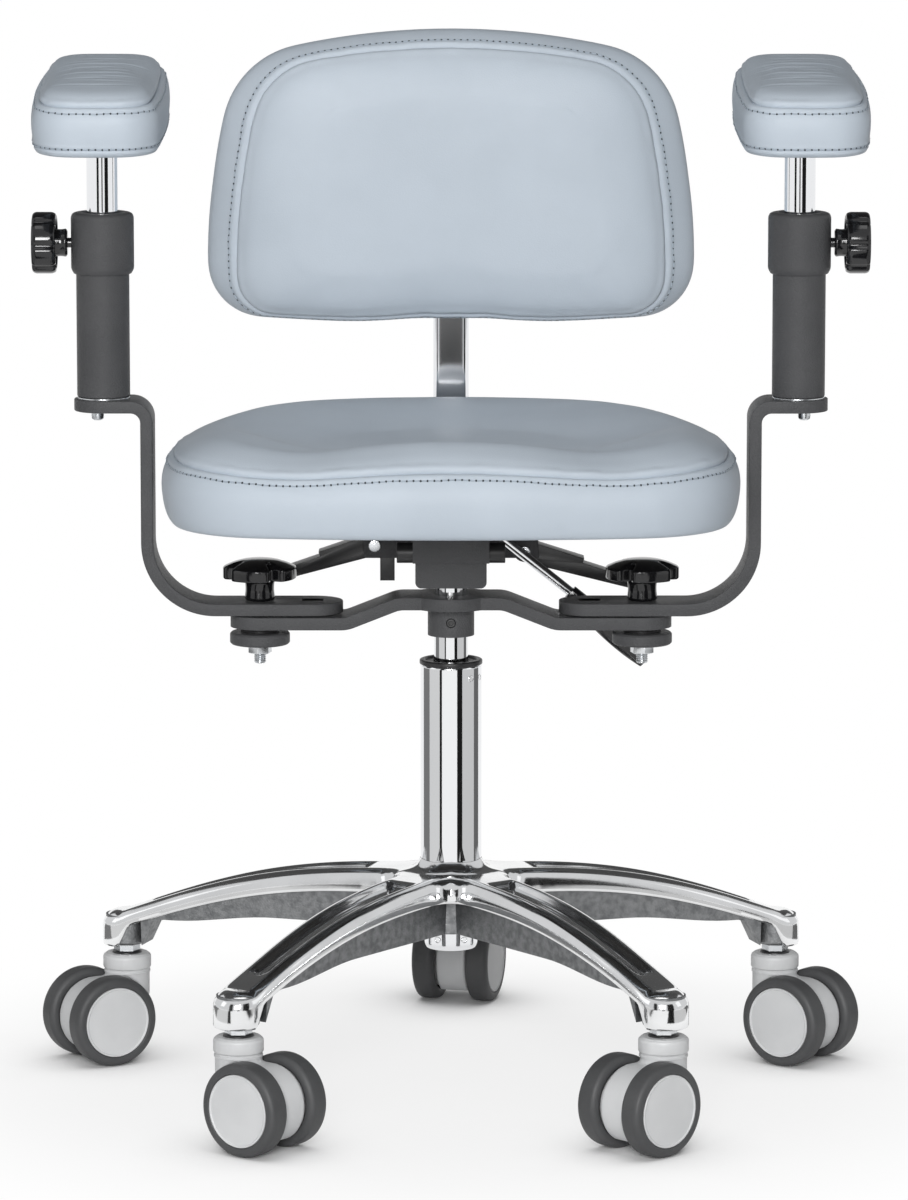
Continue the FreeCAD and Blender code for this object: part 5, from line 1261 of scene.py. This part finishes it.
def column_angles(reach, level, half, across, along_side):
    """Angles of the cage's columns: even steps along the seam from corner to corner."""
    turns = np.linspace(-math.pi, math.pi, TURNS)
    line = []
    for turn in turns:
        far = reach(turn, level)
        line.append([far * math.cos(turn), far * math.sin(turn)])
    strides = np.linalg.norm(np.diff(np.array(line), axis=0), axis=1)
    length = np.concatenate(([0], np.cumsum(strides)))
    corner = math.atan2(half[1], half[0])
    stops = [-math.pi + corner, -corner, corner, math.pi - corner, math.pi + corner]
    total = length[-1]
    angles = []
    for first, last, count in zip(stops, stops[1:], (across, along_side, across, along_side)):
        start = np.interp(first, turns, length)
        if last <= math.pi:
            end = np.interp(last, turns, length)
        else:
            end = total + np.interp(last - 2 * math.pi, turns, length)
        for step in range(count):
            spot = start + (end - start) * step / count
            turn = np.interp(spot, length, turns) if spot <= total else np.interp(spot - total, length, turns)
            angles.append(float(turn))
    return angles


def rim_order(across, along_side):
    """Indices of a grid's rim vertices, anticlockwise from its first corner."""
    row = across + 1
    low = list(range(across))
    right = [index * row + across for index in range(along_side)]
    high = [along_side * row + across - index for index in range(across)]
    left = [(along_side - index) * row for index in range(along_side)]
    return low + right + high + left


def cage(name, across, along_side, rings, level):
    """Builds a cover from its rings, the innermost first; level gives the top panel's height."""
    bench()
    bpy.ops.mesh.primitive_grid_add(x_subdivisions=across, y_subdivisions=along_side, size=1)
    piece = bpy.context.object
    piece.name = name
    inner = rings[0]
    low = inner[:across + 1]
    right = inner[across:across + along_side + 1]
    high = inner[across + along_side:2 * across + along_side + 1][::-1]
    left = (inner[2 * across + along_side:] + inner[:1])[::-1]
    for vertex in piece.data.vertices:
        u, v = vertex.co.x + 0.5, vertex.co.y + 0.5
        i, j = round(u * across), round(v * along_side)
        spot = (low[i] * (1 - v) + high[i] * v + left[j] * (1 - u) + right[j] * u
                - low[0] * (1 - u) * (1 - v) - low[-1] * u * (1 - v)
                - high[0] * (1 - u) * v - high[-1] * u * v)
        vertex.co = Vector((spot.x, spot.y, level(spot.x, spot.y))) * MM
    order = rim_order(across, along_side)
    loops = [order]
    bpy.ops.object.mode_set(mode="EDIT")
    bpy.ops.mesh.select_mode(type="VERT")
    for ring in rings[1:]:
        bpy.ops.mesh.select_all(action="DESELECT")
        mesh = bmesh.from_edit_mesh(piece.data)
        mesh.verts.ensure_lookup_table()
        for start, end in zip(order, order[1:] + order[:1]):
            mesh.edges.get((mesh.verts[start], mesh.verts[end])).select_set(True)
        bmesh.update_edit_mesh(piece.data)
        bpy.ops.mesh.extrude_region_move(TRANSFORM_OT_translate={"value": (0, 0, 0)})
        mesh = bmesh.from_edit_mesh(piece.data)
        mesh.verts.index_update()
        mesh.verts.ensure_lookup_table()
        follower = {}
        for vertex in mesh.verts:
            if vertex.select:
                for edge in vertex.link_edges:
                    other = edge.other_vert(vertex)
                    if not other.select:
                        follower[other.index] = vertex
        fresh = [follower[index] for index in order]
        for vertex, spot in zip(fresh, ring):
            vertex.co = spot * MM
        order = [vertex.index for vertex in fresh]
        loops.append(order)
        bmesh.update_edit_mesh(piece.data)
    bpy.ops.mesh.select_all(action="SELECT")
    bpy.ops.mesh.normals_make_consistent(inside=False)
    bpy.ops.object.mode_set(mode="OBJECT")
    return piece, loops


print("cage tools ready")

# %% [markdown]
# ## Cushions: filling the cover
# Foam pushes the cover out between its seams. A short cloth simulation with pressure does the same: the
# seam ring and the rings under the board are pinned, and the panels between them swell. Foam is stiffer
# than air, so the swelling is averaged with its neighbours, which irons out buckles, and capped. Then the
# cage is subdivided, and only after that the seam is pulled in, with little gathers beside it.

# %% Filling, subdividing and pulling in the seam
FRAMES = 20
AVERAGED = 14  # times


def fill(piece, pinned, pressure, most):
    """Swells a cover between its pinned rings, by no more than the given millimetres."""
    rest = [vertex.co.copy() for vertex in piece.data.vertices]
    pins = piece.vertex_groups.new(name="pins")
    pins.add(pinned, 1.0, "REPLACE")
    cloth = piece.modifiers.new("filling", "CLOTH")
    cloth.settings.quality = 6
    cloth.settings.mass = 0.2
    cloth.settings.tension_stiffness = 25
    cloth.settings.compression_stiffness = 25
    cloth.settings.shear_stiffness = 12
    cloth.settings.bending_stiffness = 1.5
    cloth.settings.use_pressure = True
    cloth.settings.uniform_pressure_force = pressure
    cloth.settings.vertex_group_mass = "pins"
    cloth.settings.effector_weights.gravity = 0.0
    cloth.point_cache.frame_start = 1
    cloth.point_cache.frame_end = FRAMES
    for count in range(1, FRAMES + 1):
        bpy.context.scene.frame_set(count)
    apply_all(piece)
    bpy.context.scene.frame_set(1)
    beside = [[] for vertex in rest]
    for edge in piece.data.edges:
        first, second = edge.vertices
        beside[first].append(second)
        beside[second].append(first)
    steps = [vertex.co - start for vertex, start in zip(piece.data.vertices, rest)]
    held = set(pinned)
    for count in range(AVERAGED):
        mean = [sum((steps[other] for other in near), Vector()) / len(near) for near in beside]
        steps = [step if index in held else (step + around) / 2
                 for index, (step, around) in enumerate(zip(steps, mean))]
    moved = 0.0
    for vertex, start, step in zip(piece.data.vertices, rest, steps):
        vertex.co = start + step
        if step.length > most * MM:
            vertex.co = start + step.normalized() * most * MM
        moved = max(moved, (vertex.co - start).length / MM)
    piece.vertex_groups.remove(piece.vertex_groups["pins"])
    print(piece.name, "swelled by up to", round(moved, 2), "mm")


def refine(piece, levels=2):
    """Subdivides a cover into a smooth, fine skin and closes its flat underside."""
    skin = piece.modifiers.new("skin", "SUBSURF")
    skin.levels = levels
    skin.render_levels = levels
    apply_all(piece)
    bpy.ops.object.mode_set(mode="EDIT")
    bpy.ops.mesh.select_mode(type="EDGE")
    bpy.ops.mesh.select_all(action="DESELECT")
    bpy.ops.mesh.select_non_manifold()
    bpy.ops.mesh.edge_face_add()
    bpy.ops.object.mode_set(mode="OBJECT")


def weights(piece, name):
    """A vertex group's weights as a plain list."""
    group = piece.vertex_groups[name].index
    values = []
    for vertex in piece.data.vertices:
        values.append(next((entry.weight for entry in vertex.groups if entry.group == group), 0.0))
    return values


def pull_seam(piece, name, depth, swell, gather, pitch):
    """Pulls a seam in by a depth, swells the cloth beside it and adds small gathers, all in millimetres."""
    normals = [vertex.normal.copy() for vertex in piece.data.vertices]
    for vertex, normal, weight in zip(piece.data.vertices, normals, weights(piece, name)):
        if weight <= 0.0:
            continue
        spot = vertex.co / MM
        wave = noise.noise(spot / pitch) + 0.6 * noise.noise(spot / (0.45 * pitch) + Vector((9, 4, 2)))
        groove = -depth * ease((weight - 0.60) / 0.40) ** 2
        beside = swell * math.sin(math.pi * min(1.0, (1 - weight) * 1.15)) * (1 - ease((weight - 0.8) / 0.2))
        pucker = gather * wave * math.sin(math.pi * min(1.0, max(0.0, (1 - weight))))
        vertex.co += normal * (groove + beside + pucker) * MM
    piece.data.update()


print("filling tools ready")

# %% [markdown]
# ## Cushions: topstitching
# Beside each seam runs a row of stitches. One stitch is a little capsule whose ends dip into the cover, and
# it is copied along the seam with a needle hole at each end, coloured with painted shade, then the copies are
# joined into one row.

# %% One stitch and a row of them
def stitch_pattern(length, radius):
    """A capsule along X with drooping ends."""
    bench()
    bpy.ops.mesh.primitive_cylinder_add(vertices=6, radius=radius * MM, depth=length * 0.6 * MM)
    piece = bpy.context.object
    piece.name = "stitch_pattern"
    bpy.ops.object.mode_set(mode="EDIT")
    bpy.ops.mesh.select_mode(type="FACE")
    for sign in (-1, 1):
        select_end(piece, sign)
        bpy.ops.mesh.extrude_region_move(
            TRANSFORM_OT_translate={"value": (-radius * 0.9 * MM, 0, sign * length * 0.2 * MM)})
        bpy.ops.transform.resize(value=(0.6, 0.6, 0.6))
    bpy.ops.object.mode_set(mode="OBJECT")
    piece.data.transform(Matrix.Rotation(math.radians(90), 4, "Y"))
    smooth(piece, 70)
    return piece


def hole_pattern(radius):
    """A needle hole: a small round patch whose middle is pushed in."""
    bench()
    bpy.ops.mesh.primitive_circle_add(vertices=8, radius=radius * MM, fill_type="NGON")
    piece = bpy.context.object
    piece.name = "hole_pattern"
    bpy.ops.object.mode_set(mode="EDIT")
    bpy.ops.mesh.select_mode(type="FACE")
    bpy.ops.mesh.select_all(action="SELECT")
    bpy.ops.mesh.inset(thickness=radius * 0.45 * MM, depth=-0.25 * MM)
    bpy.ops.object.mode_set(mode="OBJECT")
    return piece


def seam_line(piece, name, place, inward, down):
    """Points along a seam in order, moved off it by millimetres toward the middle and down the border."""
    back = place.inverted()
    turned = []
    for vertex, weight in zip(piece.data.vertices, weights(piece, name)):
        if weight > 0.999:
            spot = back @ vertex.co
            turned.append((math.atan2(spot.y, spot.x), spot))
    line = []
    for angle, spot in sorted(turned, key=lambda entry: entry[0]):
        out = Vector((math.cos(angle), math.sin(angle), 0))
        line.append(place @ (spot - out * inward * MM - Vector((0, 0, down * MM))))
    return line


STITCH_STEP, STITCH_LENGTH = 5.4, 3.9


def stitch_row(name, line, tree, radius, body):
    """Copies a stitch and a needle hole along a closed line on a cover and fits both rows to a body."""
    pattern = stitch_pattern(STITCH_LENGTH, radius)
    hole = hole_pattern(radius * 1.7)
    lengths = [(line[(index + 1) % len(line)] - line[index]).length for index in range(len(line))]
    count = round(sum(lengths) / (STITCH_STEP * MM))
    step = sum(lengths) / count
    stitches, holes = [], []
    index, spent = 0, 0.0
    for number in range(count):
        target = number * step
        while spent + lengths[index] < target and index < len(line) - 1:
            spent += lengths[index]
            index += 1
        start, end = line[index], line[(index + 1) % len(line)]
        spot = start.lerp(end, (target - spent) / lengths[index])
        place, normal = tree.find_nearest(spot)[:2]
        ahead = (end - start).normalized()
        ahead = (ahead - normal * ahead.dot(normal)).normalized()
        across = normal.cross(ahead)
        turn = Matrix((ahead, across, normal)).transposed().to_4x4()
        sewn = Matrix.Translation(place + normal * radius * 0.45 * MM) @ turn
        stitches.append(twin(pattern, f"{name}_{number}", sewn))
        end_place, end_normal = tree.find_nearest(place + ahead * step / 2)[:2]
        pierced = Matrix.Translation(end_place + end_normal * 0.45 * MM) @ turn
        holes.append(twin(hole, f"{name}_hole_{number}", pierced))
    remove(pattern)
    remove(hole)
    fit(joined(stitches, name), stitch_thread, body, "upholstery")
    # the holes' near-black material is painted shade
    fit(joined(holes, name + "_holes"), painted_hole_shade, body, "upholstery")
    print(name, "has", count, "stitches")


print("stitching tools ready")

# %% [markdown]
# ## Seat
# The seat's top rolls up from the seam, crests behind the front edge, sinks where the thighs lie and dishes
# in the middle. Its border bulges over the board and is tucked under it. In the photograph the front seam
# dips on each side of the middle, where the cover is pulled harder.

# %% Rings of a cover
def rings_for(angles, reach, levels, heights, insets, shares, tucks, corner, spread):
    """Rings of a cover in its own space: top panel from the middle out, seam, border and underside."""
    bottom, seam_level = levels
    seam_height, roll = heights
    full, corner_inset = corner

    def border(angle, share):
        """The border's reach: measured on the solid, but with a tighter lower corner than the solid has."""
        far = reach(angle, bottom + max(share, full) * (seam_level - bottom)) + spread(angle)
        return far - corner_inset * max(0.0, 1 - share / full) ** 2

    rings = []
    for inset in insets:
        ring = []
        for angle in angles:
            far = border(angle, 1.0) - inset
            x, y = far * math.cos(angle), far * math.sin(angle)
            ring.append(Vector((x, y, roll(x, y))))
        rings.append(ring)
    for share in shares:
        ring = []
        for angle in angles:
            far = border(angle, share)
            height = bottom + share * (seam_height(far * math.cos(angle), far * math.sin(angle)) - bottom)
            ring.append(Vector((far * math.cos(angle), far * math.sin(angle), height)))
        rings.append(ring)
    for tuck, rise in tucks:
        ring = []
        for angle in angles:
            far = border(angle, 0.0) - tuck
            ring.append(Vector((far * math.cos(angle), far * math.sin(angle), bottom + rise)))
        rings.append(ring)
    return rings


def bell(value, width):
    """A smooth bump of height one."""
    return math.exp(-(value / width) ** 2)


def even(angle):
    """No change of reach at any angle."""
    return 0.0


def edge_finder(reach, level, spread):
    """A measure of how far a place on a top panel lies inside the seam."""
    line = [reach(math.radians(degree), level) + spread(math.radians(degree)) for degree in range(-180, 181)]

    def inside(x, y):
        turn = math.degrees(math.atan2(y, x)) + 180.0
        return max(0.0, float(np.interp(turn, range(361), line)) - math.hypot(x, y))

    return inside


SHARES = (1.0, 0.86, 0.72, 0.57, 0.42, 0.28, 0.15, 0.04)  # from the seam down the border
print("border rings:", len(SHARES))

# %% Seat cover
SEAT_BOTTOM = 477.8
SEAT_SEAM = 523.8
HOME = Matrix.Identity(4)
seat_reach = reach_finder("seat_cushion", HOME)
seat_edge = edge_finder(seat_reach, SEAT_SEAM, even)


def seat_seam(x, y):
    """The seam's height, with its dips on each side of the front."""
    front = 1 - ease((y + 195) / 120)
    dipped = 533.0 - 6.0 * bell(abs(x) - 130, 70)
    return front * dipped + (1 - front) * 531.0


def seat_top(x, y):
    """The seat's upper surface."""
    inside = seat_edge(x, y)
    height = seat_seam(x, y) + 15.5 * (1 - math.exp(-inside / 11.0))
    sunk = min(1.0, inside / 40.0)
    height += sunk * 2.0 * bell(x, 52) * bell(y + 125, 48)
    height -= sunk * 5.0 * bell(abs(x) - 110, 46) * bell(y + 140, 70)
    height += 2.2 * bell(inside - 32, 12) * (1 - ease((y + 120) / 60))
    level = 0.62 - 0.42 * ease((y + 60) / 140)
    out = math.hypot(x / 205, (y - 5) / 172)
    return height - 15.5 * (1 - ease((out - level) / (1 - level)))


SEAT_GRID = (42, 38)
SEAT_INSETS = (70, 58, 47, 37, 28, 20, 13, 6.5)
seat_angles = column_angles(seat_reach, SEAT_SEAM, (233, 207), *SEAT_GRID)
seat_rings = rings_for(seat_angles, seat_reach, (SEAT_BOTTOM, SEAT_SEAM), (seat_seam, seat_top),
                       SEAT_INSETS, SHARES, ((3, 0), (12, 0.1), (21, 0.4), (29, 1.0), (31, 4.0)),
                       (0.34, 6.0), even)
seat_cover, seat_loops = cage("seat_cover", *SEAT_GRID, seat_rings, seat_top)
seat_sewn = seat_loops[len(SEAT_INSETS)]
seat_cover.vertex_groups.new(name="seam").add(seat_sewn, 1.0, "REPLACE")
held = seat_sewn + [index for loop in seat_loops[-6:] for index in loop]
fill(seat_cover, held, 3.0, 3.0)
refine(seat_cover)
pull_seam(seat_cover, "seam", 2.4, 0.9, 0.8, 16.0)
smooth(seat_cover, 60)
fit(seat_cover, upholstery, "seat", "upholstery", "seat_cushion")
seat_tree = BVHTree.FromObject(seat_cover, bpy.context.evaluated_depsgraph_get())
seat_line = seam_line(seat_cover, "seam", HOME, -4.0, 5.2)
stitch_row("seat_stitches", seat_line, seat_tree, 0.55, "seat")
print("seat cover faces:", len(seat_cover.data.polygons))

# %% [markdown]
# ## Backrest
# The backrest is the same kind of cover stood on edge: its own space is turned so that the front panel
# faces up while it is built. Its border flares towards the rear, and its lower edge arches a little between
# the corners.

# %% Backrest cover
BACK_MIDDLE = 728.0
BACK_SPACE = Matrix.Translation((0, 0, BACK_MIDDLE * MM)) @ Matrix.Rotation(math.radians(90), 4, "X")
BACK_BOTTOM = -213.7
BACK_SEAM = -172.2
back_reach = reach_finder("back_cushion", BACK_SPACE)


def back_spread(angle):
    """Lets the lower corners hang a little below the middle of the lower edge."""
    return 6.0 * max(0.0, -math.sin(angle)) * ease((abs(math.cos(angle)) - 0.20) / 0.5)


back_edge = edge_finder(back_reach, BACK_SEAM, back_spread)


def back_seam(x, y):
    """The seam lies flat."""
    return BACK_SEAM


def back_front(x, y):
    """The backrest's front surface."""
    return BACK_SEAM + 16.5 * (1 - math.exp(-back_edge(x, y) / 10.0)) + 1.5 * bell(x, 120) * bell(y, 70)


BACK_GRID = (40, 24)
BACK_INSETS = (52, 43, 35, 27, 20, 13, 6.5)
back_angles = column_angles(back_reach, BACK_SEAM, (185, 112), *BACK_GRID)
back_rings = rings_for(back_angles, back_reach, (BACK_BOTTOM, BACK_SEAM), (back_seam, back_front),
                       BACK_INSETS, SHARES, ((2, 0), (8, 0), (14, 0)), (0.20, 6.0), back_spread)
back_cover, back_loops = cage("back_cover", *BACK_GRID, back_rings, back_front)
back_sewn = back_loops[len(BACK_INSETS)]
back_cover.vertex_groups.new(name="seam").add(back_sewn, 1.0, "REPLACE")
back_cover.data.transform(BACK_SPACE)
held = back_sewn + [index for loop in back_loops[-4:] for index in loop]
fill(back_cover, held, 3.0, 2.5)
refine(back_cover)
pull_seam(back_cover, "seam", 2.4, 0.9, 0.6, 16.0)
smooth(back_cover, 60)
fit(back_cover, upholstery, "backrest", "upholstery", "back_cushion")
back_tree = BVHTree.FromObject(back_cover, bpy.context.evaluated_depsgraph_get())
back_line = seam_line(back_cover, "seam", BACK_SPACE, -4.5, 5.4)
stitch_row("back_stitches", back_line, back_tree, 0.55, "backrest")
print("backrest cover faces:", len(back_cover.data.polygons))

# %% [markdown]
# ## Arm pads
# The pads tip down to the front. Their sides bulge well past the seam, a second row of stitches runs near
# the bottom, and the loose top panel has crosswise wrinkles where elbows have worked it. A wrinkle is a
# short narrow valley with a low swell on both sides, so each one is written as a place, a length, a slant
# and a depth.

# %% Wrinkles
WRINKLES = (  # along the pad, across it, half length, slant, depth in millimetres
    (-74, -6, 30, 0.03, 0.60), (-60, 10, 18, -0.02, 0.35), (-48, -12, 20, 0.05, 0.50),
    (-39, 8, 30, 0.00, 0.55), (-24, -4, 34, -0.03, 0.65), (-9, 14, 16, 0.04, 0.35), (3, -9, 26, 0.02, 0.50),
    (21, 4, 34, -0.02, 0.60), (34, -13, 17, 0.05, 0.35), (49, 3, 28, -0.04, 0.50), (70, -5, 22, 0.03, 0.40),
)


def wrinkle_height(x, y, first):
    """The height that the wrinkles add at a place on a pad's top, starting from one of them."""
    height = 0.0
    for number, (place, middle, half, slant, depth) in enumerate(WRINKLES):
        sway = 1.8 * noise.noise(Vector((x / 24.0, number * 3.7 + first, 0.5)))
        off = y - place - slant * (x - middle) - sway
        fade = bell(x - middle, half)
        height += fade * depth * (0.45 * bell(abs(off) - 4.6, 2.6) - bell(off, 2.3))
    return height


print("wrinkles on a pad:", len(WRINKLES))

# %% Arm pad covers
PAD_TIP = Matrix.Rotation(math.radians(5.0), 4, "X")
PAD_LOW = 783.0
PAD_BOTTOM = -2.5
PAD_SEAM = 38.8


def pad_seam(x, y):
    """The pad's seam lies flat in the pad's own space."""
    return PAD_SEAM


PAD_GRID = (18, 40)
PAD_INSETS = (22, 16.5, 11, 5.5)
for side, sign in SIDES.items():
    pad_space = Matrix.Translation((sign * POST * MM, 0, PAD_LOW * MM)) @ PAD_TIP
    pad_reach = reach_finder(f"{side}_pad_cushion", pad_space)
    pad_edge = edge_finder(pad_reach, PAD_SEAM, even)

    def pad_top(x, y):
        return PAD_SEAM + 11.0 * (1 - math.exp(-pad_edge(x, y) / 8.0))

    angles = column_angles(pad_reach, PAD_SEAM, (48, 111), *PAD_GRID)
    rings = rings_for(angles, pad_reach, (PAD_BOTTOM, PAD_SEAM), (pad_seam, pad_top), PAD_INSETS,
                      SHARES, ((2.5, 0), (7, 0.1), (12, 0.8), (13, 3.6)), (0.30, 4.0), even)
    pad_cover, loops = cage(f"{side}_pad_cover", *PAD_GRID, rings, pad_top)
    sewn = loops[len(PAD_INSETS)]
    pad_cover.vertex_groups.new(name="seam").add(sewn, 1.0, "REPLACE")
    pad_cover.vertex_groups.new(name="low_seam").add(loops[-6], 1.0, "REPLACE")
    pad_cover.data.transform(pad_space)
    held = sewn + [index for loop in loops[-6:] for index in loop]
    fill(pad_cover, held, 3.0, 2.0)
    refine(pad_cover)
    pull_seam(pad_cover, "seam", 2.1, 0.8, 0.6, 12.0)
    pull_seam(pad_cover, "low_seam", 1.1, 0.4, 0.4, 12.0)
    for vertex in pad_cover.data.vertices:
        spot = pad_space.inverted() @ vertex.co / MM
        loose = ease((spot.z - PAD_SEAM - 4.0) / 4.0) * ease((pad_edge(spot.x, spot.y) - 3.0) / 8.0)
        fold = loose * wrinkle_height(spot.x, spot.y, sign) * MM
        vertex.co += pad_space.to_3x3() @ Vector((0, 0, fold))
    smooth(pad_cover, 60)
    fit(pad_cover, upholstery, f"{side}_pad", "upholstery", f"{side}_pad_cushion")
    pad_tree = BVHTree.FromObject(pad_cover, bpy.context.evaluated_depsgraph_get())
    high_line = seam_line(pad_cover, "seam", pad_space, -3.5, 4.8)
    low_line = seam_line(pad_cover, "low_seam", pad_space, -3.0, -0.6)
    stitch_row(f"{side}_pad_stitches", high_line, pad_tree, 0.5, f"{side}_pad")
    stitch_row(f"{side}_pad_low_stitches", low_line, pad_tree, 0.5, f"{side}_pad")
print("pads covered:", len(SIDES))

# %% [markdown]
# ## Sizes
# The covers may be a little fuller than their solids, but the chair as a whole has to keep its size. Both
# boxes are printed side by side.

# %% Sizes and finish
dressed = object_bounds()
for axis, name in enumerate("xyz"):
    was = CAD_BOX[1][axis] - CAD_BOX[0][axis]
    now = dressed[1][axis] - dressed[0][axis]
    print(name, "was", round(was / MM, 1), "mm and is", round(now / MM, 1), "mm")
